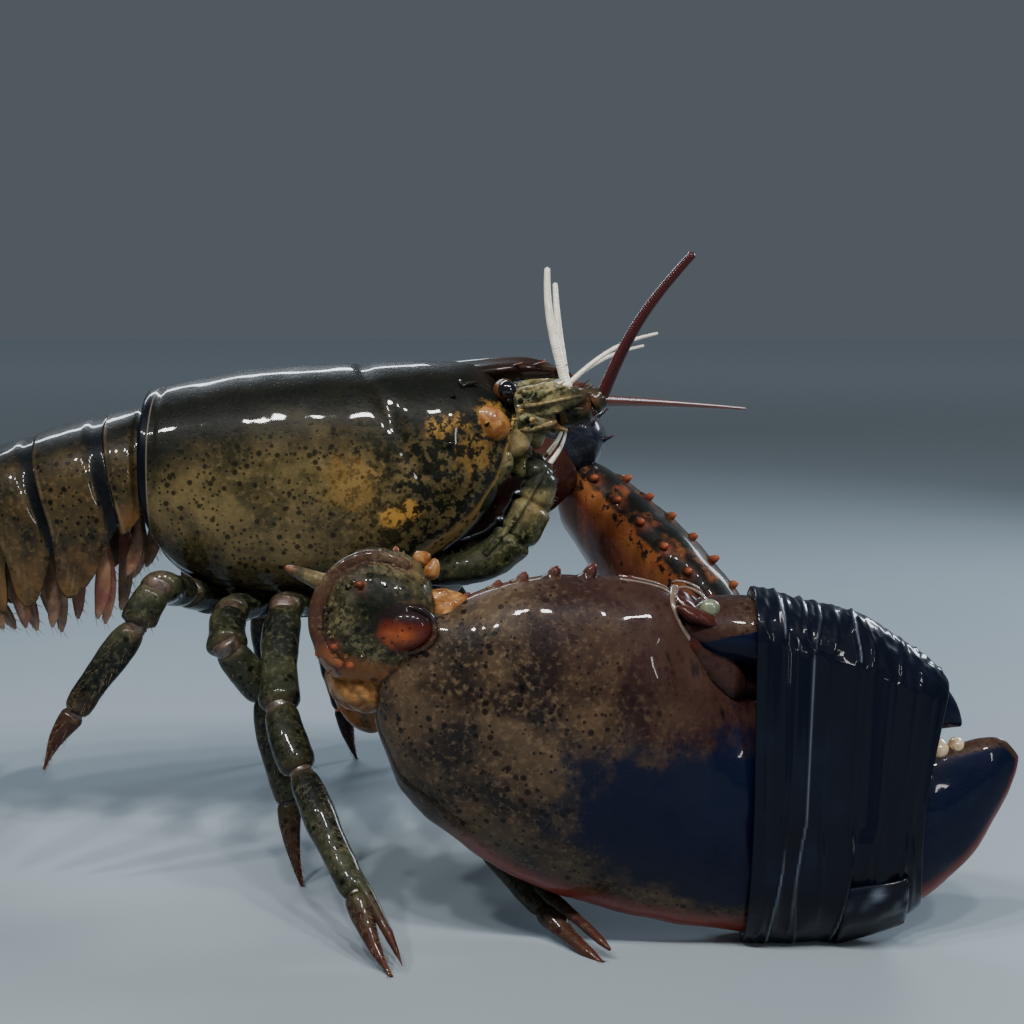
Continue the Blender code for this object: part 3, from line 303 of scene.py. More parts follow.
def turns(count, shift=0.0):
    """Angles evenly round a circle."""
    return [2.0 * math.pi * (k + shift) / count for k in range(count)]


def hoop(x, middle, half_width, up, down, power, sides):
    """A section across the animal or a claw: the points of a superellipse."""
    around = [rounded(a, half_width, up, down, power) for a in turns(sides, 0.5)]
    return [Vector((x, side, middle + height)) for side, height in around]


def spread(low, high, step):
    """Stations from low to high, about a step apart."""
    count = max(2, round((high - low) / step))
    return [low + (high - low) * k / count for k in range(count + 1)]


def ring_edges(bm, ring):
    """The edges of a closed ring of points."""
    return [bm.edges.get((ring[k], ring[k - 1])) for k in range(len(ring))]


def next_ring(bm, ring, edges):
    """Extrudes a closed ring: the new one, its points in the same order, and its edges."""
    new = {v for v in bmesh.ops.extrude_edge_only(bm, edges=edges)["geom"] if isinstance(v, bmesh.types.BMVert)}
    ring = [next(e.other_vert(v) for e in v.link_edges if e.other_vert(v) in new) for v in ring]
    return ring, ring_edges(bm, ring)


def skin(bm, rings, start=0.0, end=0.0):
    """Grows a closed skin through rings of points; each end is a fan whose hub stands out by start, end."""
    ring = list(bmesh.ops.create_circle(bm, segments=len(rings[0]), radius=1.0)["verts"])
    middles = [sum(points, Vector()) / len(points) for points in rings]
    grown = list(ring)
    first = edges = ring_edges(bm, ring)
    for number, points in enumerate(rings):
        if number:
            ring, edges = next_ring(bm, ring, edges)
            grown += ring
        for vert, point in zip(ring, points):
            vert.co = point
    for loop, middle, beyond, bulge in ((first, middles[0], middles[1], start),
                                        (edges, middles[-1], middles[-2], end)):
        cap = bmesh.ops.contextual_create(bm, geom=loop)["faces"]
        hub = bmesh.ops.poke(bm, faces=cap)["verts"][0]
        hub.co = middle + (middle - beyond).normalized() * bulge
        grown.append(hub)
    return grown


UPRIGHT = Vector((0.0, 0.0, 1.0))


def thorn(bm, root, tip, radius, sides=10, flare=1.5, blunt=0.0):
    """A spine that spreads where it grows out of the shell; blunt ones end in a round knob."""
    root, tip = Vector(root), Vector(tip)
    along = (tip - root).normalized()
    hint = UPRIGHT if abs(along.z) < 0.9 else Vector((1.0, 0.0, 0.0))
    side = hint.cross(along).normalized()
    top = along.cross(side)
    rings = []
    for t, share in ((-0.12, flare * 1.15), (0.05, flare), (0.18, 1.0), (0.45, 0.66), (0.72, 0.42),
                     (0.9, 0.2), (0.98, 0.06)):
        middle = root.lerp(tip, t)
        share += blunt * math.sqrt(max(0.0, 1.0 - ((t - 0.45) / 0.55) ** 2)) * clipped(t * 3.0) * (1.0 - share)
        rings.append([middle + (side * math.cos(a) + top * math.sin(a)) * radius * share for a in turns(sides)])
    return skin(bm, rings, 0.0, radius * 0.03)


def weather(bm, coarse, fine):
    """Swells and sinks the skin along its normals, in millimetres, as growth leaves it uneven."""
    bm.normal_update()
    for v in bm.verts:
        v.co += (v.normal * (coarse * noise.noise(v.co / 15.0)
                             + fine * noise.noise(v.co / 4.5 + Vector((9.0, 4.0, 2.0)))))


def settle(bm, name, finish, stands_for, frame_in=None, traits=None):
    """Puts a mesh shaped in millimetres in its place, with its finish, on the body, for its CAD nodes."""
    for trait, number in (traits or {}).items():
        layer = bm.verts.layers.float.new(trait)
        for v in bm.verts:
            v[layer] = number(v.co)
    for trait in finish.traits:
        if bm.verts.layers.float.get(trait) is None:
            bm.verts.layers.float.new(trait)
    if frame_in is not None:
        bmesh.ops.transform(bm, matrix=frame_in, verts=bm.verts)
    bmesh.ops.recalc_face_normals(bm, faces=bm.faces)
    for v in bm.verts:
        v.co.z = max(v.co.z, 0.0)
    bmesh.ops.scale(bm, vec=(MM, MM, MM), verts=bm.verts)
    bmesh.ops.translate(bm, vec=HOME, verts=bm.verts)
    for face in bm.faces:
        face.smooth = True
    data = bpy.data.meshes.new(name)
    bm.to_mesh(data)
    bm.free()
    data.materials.append(finish.material)
    piece = bpy.data.objects.new(name, data)
    bpy.context.scene.collection.objects.link(piece)
    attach(piece, "root")
    if stands_for:
        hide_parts(*stands_for)


def close_to(points, reach):
    """How close a point is to the nearest of some points, one at it and nought beyond the reach."""
    return lambda p: max(bell((p - q).length, reach) for q in points)


def carapace_point(x, angle):
    """A point of the shield: an arch over an inturned lower edge, with the neck groove and its rims."""
    top, foot, half = curve(CARAPACE_TOP, x), curve(CARAPACE_FOOT, x), curve(CARAPACE_HALF, x)
    middle = foot + WIDEST * (top - foot)
    side, height = rounded(angle, half, top - middle, middle - foot, 2.25 if math.sin(angle) > 0.0 else 2.8)
    height += middle
    sink = 1.5 * clipped((height - 150.0) / 20.0) * bell(x - curve(GROOVE, height), GROOVE_HALF)
    sink += bell(x - REAR_X - REAR_HEM, 1.3)
    sink += 0.7 * bell(height - foot - 6.0, 1.4) * min(1.0, abs(side) / 20.0)
    sink += 0.8 * bell(side, 1.6) * (1.0 if height > middle and x < -60.0 else 0.0)
    inward = 1.0 - sink / math.hypot(side, height - middle)
    return Vector((x, side * inward, middle + (height - middle) * inward))


shield = bmesh.new()
shield_rings = [[carapace_point(x, a) for a in turns(132)] for x in spread(REAR_X, BROW_X, 1.9)]
skin(shield, shield_rings, 0.0, 1.0)
weather(shield, 0.45, 0.12)
ROSTRUM_TIP = Vector((29.5, 0.0, 219.5))
rostrum_rings = []
for t in spread(0.0, 1.0, 0.04):
    x = -34.0 + t * (ROSTRUM_TIP.x + 34.0)
    half = curve([(0.0, 15.0), (0.5, 10.0), (0.75, 6.5), (1.0, 0.7)], t)
    top = curve([(0.0, 226.5), (0.6, 229.0), (0.85, 225.0), (1.0, ROSTRUM_TIP.z + 0.6)], t)
    low = curve([(0.0, 210.0), (0.6, 218.0), (0.85, 219.0), (1.0, ROSTRUM_TIP.z - 0.6)], t)
    edge = top - 0.42 * (top - low)
    ring = []
    for a in turns(28, 0.5):
        side, rise = rounded(a, half, top - edge, edge - low, 1.5)
        dip = 0.16 * (top - edge) * bell(abs(side) / half - 0.45, 0.2) if math.sin(a) > 0.0 else 0.0
        ring.append(Vector((x, side, edge + rise - dip)))
    rostrum_rings.append(ring)
skin(shield, rostrum_rings, 0.0, 0.5)
horns = [ROSTRUM_TIP]
for side in (-1.0, 1.0):
    # the horn's edge spines, then those behind and below each eye, the cheek's, and pimples
    for x, out, z in ((1.0, 9.0, 223.5), (11.5, 7.0, 224.0), (21.5, 4.0, 222.5)):
        horns.append(Vector((x + 4.0, side * (out + 2.5), z + 3.5)))
        thorn(shield, (x - 3.0, side * out * 0.6, z - 0.4), horns[-1], 1.7)
    thorn(shield, (-22.0, side * 24.6, 217.5), (-14.5, side * 25.6, 219.2), 1.7)
    thorn(shield, (-6.0, side * 27.0, 201.3), (2.5, side * 29.0, 203.0), 1.9)
    thorn(shield, (-29.0, side * 39.6, 192.3), (-25.0, side * 41.8, 193.5), 1.3)
    for k in range(16):
        root = Vector((-26.0 + 5.0 * (k % 8), side * random.uniform(26.0, 34.0), random.uniform(196.0, 214.0)))
        thorn(shield, root, root + Vector((1.2, side * 2.0, 0.6)), 0.9, 6)


def shell(name, dark, olive, speck, fleck_share=0.5, coat=0.9):
    """Wet shell: olive mottling under dark flecks, pitted, with a film of water over it."""
    finish = Finish(name, IOR=1.5, Coat_Roughness=0.05, Coat_IOR=1.24, Specular_IOR_Level=0.07)
    blotch = finish.cloud(38.0, 6.0, 0.62, 0.4)
    fine = finish.cloud(420.0, 3.0, 0.6)
    tint = finish.blend(blotch.step(0.36, 0.66), dark, olive)
    tint = finish.blend((fine - 0.5).step(-0.02, 0.22) * 0.45, tint, speck)
    dots = finish.flecks(210.0, 0.34, fleck_share).most(finish.flecks(430.0, 0.36, fleck_share * 0.8))
    tint = finish.blend(dots * 0.85, tint, tuple(c * 0.22 for c in dark))
    pits = finish.cells(380.0).step(0.0, 0.34)
    relief = finish.relief(pits * 0.5 + fine * 0.6 + blotch * 0.8, 0.32, 0.55)
    finish.feed(Roughness=0.30 + 0.22 * fine, Normal=relief, Coat_Weight=coat - 0.35 * blotch.step(0.45, 0.75))
    return finish, tint


paint, tint = shell("carapace_shell", (0.036, 0.031, 0.014), (0.128, 0.096, 0.040), (0.18, 0.130, 0.058), 0.7)
tint = paint.blend((paint.trait("dusk") + (paint.cloud(40.0, 5.0) - 0.5) * 1.1).step(0.0, 1.0) * 0.95, tint,
                   (0.0036, 0.0050, 0.0046))
ochre, rear_rim_black = (0.36, 0.195, 0.045), (0.003, 0.004, 0.007)
for centre, radius, share in (((-31.0, -42.0, 201.0), 6.5, 0.6), ((-23.0, -40.0, 203.0), 6.0, 0.55),
                              ((-53.0, -46.0, 161.0), 5.4, 0.9), ((-45.0, -46.0, 163.0), 5.6, 0.9),
                              ((-9.5, -28.0, 203.0), 7.5, 0.85), ((-17.0, -34.0, 188.0), 9.0, 0.35),
                              ((-70.0, -47.0, 176.0), 12.0, 0.25)):
    both = paint.near(centre, radius).most(paint.near((centre[0], -centre[1], centre[2]), radius))
    tint = paint.blend(both * share, tint, ochre)
net = (paint.cloud(220.0, 5.0, 0.64) + paint.trait("head") * 0.060).step(0.53, 0.60)
margin, rear = paint.trait("margin"), paint.trait("rear")
tint = paint.layers(tint, [
    (net * (0.16 + 0.79 * paint.trait("head")), (0.0060, 0.0070, 0.0050)),
    (margin.step(13.0, 9.0) * margin.step(2.0, 6.0) * paint.trait("front") * 0.8, (0.42, 0.27, 0.09)),
    (paint.flecks(300.0, 0.42, 0.7) * margin.step(16.0, 9.0) * 0.9, (0.012, 0.010, 0.010)),
    (margin.step(5.0, 2.5), (0.012, 0.018, 0.030)),
    (paint.trait("snout") * (0.95 - 0.5 * paint.cloud(150.0, 5.0)), (0.026, 0.0110, 0.0075)),
    (paint.trait("horn") * 0.9, (0.36, 0.11, 0.060)),
    # the rear rim painted near-black, and just ahead of it a thin painted highlight line along the shell
    (rear.step(4.2, 3.4), rear_rim_black),
    (rear.step(3.6, 3.9) * rear.step(4.5, 4.2) * 0.5, (0.17, 0.15, 0.11)),
])
paint.feed(Base_Color=tint)
settle(shield, "carapace_shield", paint, ["carapace"], traits={
    "margin": lambda p: p.z - curve(CARAPACE_FOOT, p.x),
    "front": lambda p: clipped((p.x + 72.0) / 14.0), "head": lambda p: clipped((p.x + 92.0) / 50.0),
    "horn": close_to(horns, 1.8),
    "snout": lambda p: clipped((p.x + 22.0) / 20.0) * clipped((p.z - 214.0) / 5.0),
    "rear": lambda p: p.x - REAR_X,
    "dusk": lambda p: (p.z - curve([(REAR_X, 158.0), (-125.0, 172.0), (-70.0, 178.0), (0.0, 172.0)], p.x))
            / 34.0})


# Abdomen: six overlapping rings of shell on soft hinges, each with a smooth front facet that slides under
# the ring before it and a pointed side plate. The muscle inside holds the tail low and half bent.

# each ring's length and slope, the joints' slopes, half widths and depths, and the side plates' drop
SOMITE_LENGTH = (19.5, 34.0, 32.0, 32.0, 32.0, 36.0)
SOMITE_SLOPE = (10.0, 15.0, 20.0, 37.0, 55.0, 71.0)
JOINT_SLOPE = (0.0, 12.5, 17.5, 28.0, 46.0, 63.0, 76.0)
SOMITE_HALF = (36.0, 40.5, 37.5, 34.5, 31.5, 28.5, 25.0)
SOMITE_DEPTH = (54.0, 54.0, 54.0, 51.0, 46.0, 41.0, 33.0)
PLEURON_DROP = (6.0, 27.0, 26.0, 24.0, 21.0, 15.0)
PLEURON_WALL = 2.6

paint, tint = shell("tail_shell", (0.007, 0.008, 0.0065), (0.056, 0.040, 0.017), (0.14, 0.090, 0.036), 0.45)
tint = paint.layers(tint, [
    (paint.trait("plate").step(0.45, 1.15) * (0.25 + 0.75 * paint.cloud(75.0, 4.0).step(0.42, 0.66)),
     (0.135, 0.068, 0.025)),
    ((paint.trait("ridge") + (paint.cloud(45.0, 5.0) - 0.5) * 1.2).step(0.15, 0.85) * 0.9,
     (0.0040, 0.0055, 0.0055)),
    # painted shade: each ring's front facet, which slides under the ring before, near-black as the shadow in
    # the gap between rings
    (paint.trait("shaded_facet") * 0.95, (0.003, 0.004, 0.006)),
    (paint.trait("hem") * (0.15 + 0.85 * paint.cloud(55.0).step(0.4, 0.6)) * 0.7, (0.17, 0.125, 0.070)),
])
paint.feed(Base_Color=tint)

tail_joints = []
joint_top = Vector((REAR_X - 0.3, 0.0, 207.0))
for number, slope in enumerate(JOINT_SLOPE):
    turn = math.radians(slope)
    tail_joints.append((joint_top.copy(), Vector((-math.cos(turn), 0.0, -math.sin(turn))),
                        Vector((math.sin(turn), 0.0, -math.cos(turn)))))
    if number < 6:
        lean = math.radians(SOMITE_SLOPE[number])
        joint_top += Vector((-math.cos(lean), 0.0, -math.sin(lean))) * SOMITE_LENGTH[number]


def somite_ring(top, back, down, half, depth, drop, sweep, scale):
    """One section of a ring: the arch, the hanging plates' outer and inner faces, and the soft underside."""
    points = []
    for k in range(45):
        side, height = rounded(math.pi * k / 44, half * scale, depth * 0.62, 0.0, 2.2)
        points.append(top + Vector((0.0, side, 0.0)) + down * (depth * 0.62 - height + (1.0 - scale) * 14.0))

    def plate(f, inset):
        out = half * curve([(0.0, scale), (0.45, 0.6 * scale + 0.4), (1.0, 0.3 * scale + 0.7)], f)
        out -= curve([(0.0, 0.0), (0.45, 0.3), (1.0, 2.0)], f) + inset
        return top + down * (depth * 0.62 + (depth * 0.25 + drop) * f) + back * (sweep * f * f), out

    outer = [plate(f, 0.0) for f in (0.15, 0.3, 0.45, 0.6, 0.75, 0.88, 0.97, 1.0)]
    inner = [plate(f, PLEURON_WALL * (0.85 if f > 0.9 else 1.2)) for f in (1.0, 0.97, 0.88, 0.75, 0.6, 0.45)]
    belly = plate(0.45, 0.0)
    points += [at - Vector((0.0, out, 0.0)) for at, out in outer + inner]
    for share in (-0.66, -0.33, 0.0, 0.33, 0.66):
        points.append(belly[0] + Vector((0.0, belly[1] * share, 0.0)) + down * (2.5 - 4.0 * share * share))
    points += [at + Vector((0.0, out, 0.0)) for at, out in reversed(outer + inner)]
    return points


def set_square(front, rear, share):
    """The top point and directions of a section part of the way along a ring."""
    return (front[0].lerp(rear[0], share), front[1].lerp(rear[1], share).normalized(),
            front[2].lerp(rear[2], share).normalized())


for number in range(6):
    front, rear = tail_joints[number], tail_joints[number + 1]
    rings = []
    for t in spread(0.0, 1.0, 0.04):
        top, back, down = set_square(front, rear, t)
        scale = curve([(0.0, 0.93), (0.2, 0.935), (0.235, 0.945), (0.27, 0.985), (0.5, 1.01), (0.8, 1.01),
                       (1.0, 0.99)], t)
        drop = curve([(0.0, 0.0), (0.22, 0.45), (0.26, 0.6), (0.5, 0.92), (0.78, 1.0), (0.93, 0.8),
                      (1.0, 0.55)], t)
        half = SOMITE_HALF[number] + (SOMITE_HALF[number + 1] - SOMITE_HALF[number]) * t * 0.5
        depth = SOMITE_DEPTH[number] + (SOMITE_DEPTH[number + 1] - SOMITE_DEPTH[number]) * t
        fall = PLEURON_DROP[number] * drop
        inset = 0.0 if 0.0 < t < 1.0 else 0.17 * (1.0 if t < 0.5 else -1.0)
        rings.append(somite_ring(top + back * inset, back, down, half, depth, fall,
                                 fall * 0.34 if t > 0.0 else 0.0, scale))
    ring_mesh = bmesh.new()
    skin(ring_mesh, rings)
    weather(ring_mesh, 0.35, 0.10)
    axis = rear[0] - front[0]
    settle(ring_mesh, f"tail_ring_{number + 1}", paint, [f"somite_{number + 1}"], traits={
        "plate": lambda p: max(0.0, ((p - front[0]).dot(front[2]) - SOMITE_DEPTH[number] * 0.55)
                               / (12.0 + PLEURON_DROP[number])),
        # the front facet, which gets the painted shade of the gap
        "shaded_facet": lambda p: clipped((0.25 - (p - front[0]).dot(axis) / axis.length_squared) / 0.03),
        "hem": lambda p: bell((p - rear[0]).dot(rear[1]) + 0.9, 0.55),
        "ridge": lambda p: 1.0 - (p - front[0]).dot(front[2]) / (0.5 * SOMITE_DEPTH[number])})


# Swimmerets: soft paddles under the first five rings, two thin leaves on a short stalk, edged with
# fine hair. They are ochre to pink, and hang in pairs behind the side plates.
leaf_finish = Finish("swimmeret_skin", Roughness=0.38, Coat_Weight=0.6, Coat_Roughness=0.06, IOR=1.45)
veins = leaf_finish.cloud(150.0, 5.0, 0.6)
leaf_tint = leaf_finish.blend(veins.step(0.35, 0.65), (0.17, 0.080, 0.050), (0.36, 0.21, 0.11))
leaf_tint = leaf_finish.blend(leaf_finish.cloud(32.0).step(0.5, 0.66) * 0.7, leaf_tint, (0.22, 0.06, 0.045))
leaf_finish.feed(Base_Color=leaf_tint, Normal=leaf_finish.relief(veins, 0.4, 0.5))
hair_finish = mottled("setae", 90.0, (0.10, 0.065, 0.035), (0.24, 0.17, 0.10), Roughness=0.5)


def tube(bm, stations, sides, start, end, up):
    """A limb through stations (middle, half width, half height)."""
    rings = []
    for k, (middle, wide, high) in enumerate(stations):
        along = (stations[min(k + 1, len(stations) - 1)][0] - stations[max(k - 1, 0)][0]).normalized()
        side = up.cross(along).normalized()
        rise = along.cross(side)
        rings.append([middle + side * (wide * math.cos(a)) + rise * (high * math.sin(a))
                      for a in turns(sides, 0.5)])
    return skin(bm, rings, start, end)


def lengths_along(points):
    """How far along a path of straight pieces each of its points is."""
    lengths = [0.0]
    for a, b in zip(points, points[1:]):
        lengths.append(lengths[-1] + (Vector(b) - Vector(a)).length)
    return lengths


def course(points, step):
    """Points evenly along a smooth path through a few points, each with its share of the way."""
    lengths = lengths_along(points)
    tables = [[(s, p[k]) for s, p in zip(lengths, points)] for k in range(3)]
    return [(Vector([curve(table, s) for table in tables]), s / lengths[-1])
            for s in spread(0.0, lengths[-1], step)]


def bristle(bm, root, tip, radius):
    """One stiff hair."""
    along = tip - root
    stand = Matrix.Translation(root + along * 0.5) @ along.to_track_quat("Z", "Y").to_matrix().to_4x4()
    bmesh.ops.create_cone(bm, cap_ends=True, segments=3, radius1=radius, radius2=radius * 0.2,
                          depth=along.length, matrix=stand)


leaves = bmesh.new()
hairs = bmesh.new()
for number in range(5):
    for side in (-1.0, 1.0):
        top, back, down = set_square(tail_joints[number], tail_joints[number + 1], 0.45)
        depth = (SOMITE_DEPTH[number] + SOMITE_DEPTH[number + 1]) * 0.5
        root = top + down * (depth * 0.95 - 5.0) + Vector((0.0, side * (SOMITE_HALF[number] * 0.52), 0.0))
        length = (30.0, 46.0, 44.0, 40.0, 34.0)[number]
        for lean, reach in ((-3.0, 1.0), (3.5, 0.9)):
            stations = []
            for t in spread(0.0, 1.0, 0.08):
                middle = root + down * (length * reach * t) + back * (length * 0.25 * t * t)
                middle += Vector((0.0, side * lean * (0.45 + t), 0.0))
                wide = curve([(0.0, 2.3), (0.2, 2.1), (0.34, 2.7), (0.65, 3.6), (0.9, 2.4), (1.0, 0.8)], t)
                stations.append((middle, 0.7 + 1.1 * (1.0 - t), wide))
                if t > 0.4:
                    for k in range(5):
                        edge = middle + back * wide * random.choice((-1.0, 1.0)) * 0.9
                        bristle(hairs, edge, edge + (edge - middle) * 0.5
                                + down * random.uniform(2.0, 4.5), 0.12)
            tube(leaves, stations, 14, 0.5, 0.5, back)
weather(leaves, 0.25, 0.10)
settle(leaves, "swimmerets", leaf_finish, [])


# Tail fan: the telson in the middle and two blades each side, flat calcified plates with a ridge down
# the middle and a fringe of hair round the rear edge.
FAN_OUTLINE = [(0.0, 0.42), (0.15, 0.62), (0.5, 0.96), (0.75, 1.0), (0.92, 0.72), (0.99, 0.36)]


def fan_blade(name, node, root, direction, up, length, half, thick):
    """A blade of the fan, with its ridge, and hair along its rear edge."""
    side = up.cross(direction).normalized()
    top = direction.cross(side).normalized()
    rings = []
    for t in spread(0.0, 0.99, 0.03):
        wide = half * curve(FAN_OUTLINE, t)
        high = thick * (1.0 - 0.6 * t)
        middle = root + direction * (length * t) - top * (2.5 * t * t)
        ring = []
        for a in turns(40):
            c, s = math.cos(a), math.sin(a)
            ridge = 0.5 * bell(c, 0.12) - 0.4 * bell(abs(c) - 0.3, 0.12) if s > 0.0 else 0.0
            ring.append(middle + side * (wide * c) + top * (high * s + 0.06 * wide * s * s + ridge * (1.0 - t)))
        rings.append(ring)
        if t > 0.62:
            for sign in (-1.0, 1.0):
                for _ in range(9):
                    edge = middle + side * (wide * sign * random.uniform(0.82, 1.0))
                    out = direction * random.uniform(2.5, 5.5) + side * (sign * (1.6 - 0.9 * t)) - top * 0.3
                    bristle(hairs, edge - out * 0.2, edge + out, 0.16)
    for _ in range(70):
        edge = root + direction * (length * 0.985) + side * (half * random.uniform(-0.5, 0.5)) - top * 2.4
        bristle(hairs, edge - direction, edge + direction * random.uniform(3.0, 5.5)
                + side * random.uniform(-0.8, 0.8), 0.16)
    blade = bmesh.new()
    skin(blade, rings, 0.3, 0.6)
    weather(blade, 0.3, 0.08)
    settle(blade, name, paint, [node], traits={
        "plate": lambda p: 0.55 * clipped(((p - root).dot(direction) / length - 0.2) / 0.8),
        "hem": lambda p: bell((p - root).dot(direction) - length * 0.97, 2.0)})


at, back, down = tail_joints[-1]
fan_root = at + down * (SOMITE_DEPTH[-1] * 0.42) + back * 0.3
fan_up = -down
fan_blade("tail_fan_middle", "telson", fan_root + fan_up * 5.0, (back + fan_up * 0.02).normalized(),
          fan_up, 58.0, 20.5, 4.2)
SIDES = ((-1.0, "right"), (1.0, "left"))
for side, word in SIDES:
    for label, splay, out, sink, length, half in (("inner", 24.0, 12.0, 1.5, 62.0, 17.0),
                                                  ("outer", 52.0, 19.0, 7.0, 64.0, 18.5)):
        turn = math.radians(splay)
        direction = (back * math.cos(turn) + Vector((0.0, side * math.sin(turn), 0.0))).normalized()
        start = fan_root + Vector((0.0, side * out, 0.0)) - fan_up * sink
        fan_blade(f"tail_fan_{label}_{word}", f"uropod_{label}_{word}", start, direction, fan_up, length,
                  half, 2.8)
settle(hairs, "tail_setae", hair_finish, [])


# Crusher claw: the heavy right claw, palm and fixed finger grown as one thick shell, olive-brown, navy
# below and at the tips, red-brown at the hinge and keel, with blunt spines on its upper edge.

# keys along each claw: upper edge, lower edge and half width, of the palm and of the movable finger
CRUSHER = {
    "top": [(-4.0, 18.0), (6.0, 26.0), (19.0, 30.0), (36.0, 39.0), (52.0, 45.0), (74.0, 49.0), (93.0, 49.5),
            (103.0, 47.0), (109.0, 40.0), (115.0, 33.0), (121.0, 26.0), (127.0, 20.0), (133.0, 15.0),
            (141.0, 12.0), (160.0, 9.0), (180.0, 6.0), (200.0, 3.0), (214.0, 0.0), (224.0, 3.0), (236.0, 8.0),
            (244.0, 8.5), (251.0, 3.0)],
    "foot": [(-4.0, -24.0), (0.0, -32.0), (10.0, -49.0), (31.0, -64.0), (61.0, -78.0), (94.0, -84.5),
             (126.0, -87.0), (150.0, -86.5), (174.0, -83.5), (193.0, -78.0), (224.0, -61.0), (240.0, -41.0),
             (248.0, -20.0), (251.0, -6.0)],
    "half": [(-4.0, 14.0), (10.0, 21.0), (36.0, 28.0), (74.0, 32.0), (112.0, 28.0), (140.0, 23.0),
             (180.0, 19.0), (214.0, 15.0), (240.0, 8.0), (251.0, 2.0)],
    "finger_top": [(106.0, 37.0), (111.0, 43.0), (118.0, 47.0), (135.0, 50.0), (153.0, 48.0), (177.0, 46.0),
                   (196.0, 38.5), (211.0, 31.0), (218.0, 26.0), (223.5, 19.5), (226.0, 14.5)],
    "finger_foot": [(106.0, 30.0), (112.0, 26.0), (122.0, 22.0), (138.0, 21.0), (160.0, 16.0), (180.0, 12.0),
                    (200.0, 9.5), (215.0, 8.5), (226.0, 11.0)],
    "finger_half": [(106.0, 8.0), (112.0, 13.0), (122.0, 17.0), (150.0, 17.0), (180.0, 14.5), (205.0, 10.0),
                    (220.0, 5.0), (226.0, 1.6)],
}
CUTTER = {
    "top": [(-4.0, 17.0), (6.0, 22.0), (22.0, 27.0), (50.0, 33.0), (80.0, 36.0), (104.0, 34.0), (114.0, 29.0),
            (121.0, 17.0), (130.0, 5.0), (150.0, 2.0), (180.0, 0.0), (210.0, 0.5), (232.0, 5.0), (245.0, 10.0)],
    "foot": [(-4.0, -30.0), (4.0, -38.0), (22.0, -44.5), (50.0, -47.0), (85.0, -47.5), (120.0, -44.5),
             (150.0, -38.0), (180.0, -31.0), (210.0, -22.0), (232.0, -10.0), (245.0, 5.0)],
    "half": [(-4.0, 12.0), (8.0, 17.0), (40.0, 22.0), (75.0, 23.5), (108.0, 21.0), (130.0, 16.0),
             (170.0, 12.0), (210.0, 8.5), (235.0, 4.5), (245.0, 1.6)],
    "finger_top": [(102.0, 26.0), (110.0, 33.5), (130.0, 37.0), (160.0, 35.0), (190.0, 29.0), (215.0, 20.0),
                   (234.0, 8.0), (240.0, 0.0)],
    "finger_foot": [(102.0, 10.0), (116.0, 13.0), (130.0, 15.0), (160.0, 10.0), (190.0, 6.0), (215.0, 3.0),
                    (232.0, -1.0), (240.0, -4.0)],
    "finger_half": [(102.0, 7.0), (114.0, 12.0), (150.0, 11.0), (190.0, 8.0), (220.0, 4.5), (240.0, 1.4)],
}


def claw_frame(wrist, drop, turn, roll):
    """Places a claw: its X drops and turns to the right, its Z leans to the right by the roll."""
    drop, turn, roll = math.radians(drop), math.radians(turn), math.radians(roll)
    aside = Vector((math.sin(turn), math.cos(turn), 0.0))
    along = Vector((math.cos(turn), -math.sin(turn), 0.0)) * math.cos(drop) - Vector((0.0, 0.0, math.sin(drop)))
    top = aside.cross(-along) * math.cos(roll) - aside * math.sin(roll)
    return Matrix.Translation(wrist) @ Matrix((along, top.cross(along), top)).transposed().to_4x4()


CLAW_ROUND = 1.9


def claw_section(shape, part, x):
    """A claw's upper edge, lower edge, half width and widest height at a place along it."""
    top, foot, half = (curve(shape[part + key], x) for key in ("top", "foot", "half"))
    return top, foot, half, foot + (0.5 if part else 0.54) * (top - foot)


def claw_ring(shape, part, x, sides):
    """A section of a claw's palm or finger: a rounded lozenge, sharper towards its upper and lower edges."""
    top, foot, half, middle = claw_section(shape, part, x)
    return hoop(x, middle, half, top - middle, middle - foot, CLAW_ROUND, sides)


def claw_solid(shape, part, low, high, sides, step=1.8):
    """Palm with its fixed finger, or the movable finger."""
    bm = bmesh.new()
    skin(bm, [claw_ring(shape, part, x, sides) for x in spread(low, high, step)], 2.0, 1.0)
    return bm


RIGHT_CLAW = claw_frame(Vector((-46.4, -125.0, 112.6)), 9.0, 0.0, 0.0)
crusher_finish, tint = shell("crusher_shell", (0.012, 0.009, 0.008), (0.080, 0.052, 0.030),
                             (0.17, 0.120, 0.068), 0.5, 0.85)
paint = crusher_finish
navy, brick = (0.0016, 0.0045, 0.0195), (0.21, 0.034, 0.022)
# The claw's navy underside and tips are its own colour. On the movable finger and the hinge skin, this mask
# also paints the shade of the gap under the finger's base black.
navy_and_gap_shade = ((paint.trait("navy_and_gap_shade") + (paint.cloud(42.0, 6.0, 0.66) - 0.5) * 1.5).step(0.22, 0.62)
         * paint.trait("navy_and_gap_shade").step(0.0, 0.2))
tint = paint.layers(tint, [
    (paint.trait("hinge") * (0.68 + 0.32 * paint.cloud(60.0)), (0.030, 0.0115, 0.0105)),
    (navy_and_gap_shade * 0.97, navy),
    (paint.trait("dots"), (0.003, 0.004, 0.006)),
    (paint.trait("keel") * (0.65 + 0.35 * paint.cloud(180.0)), brick),
    (paint.trait("warts") * 0.85, (0.085, 0.014, 0.011)),
    (paint.trait("lip") * 0.3, (0.20, 0.13, 0.10)),
])
paint.feed(Base_Color=tint)
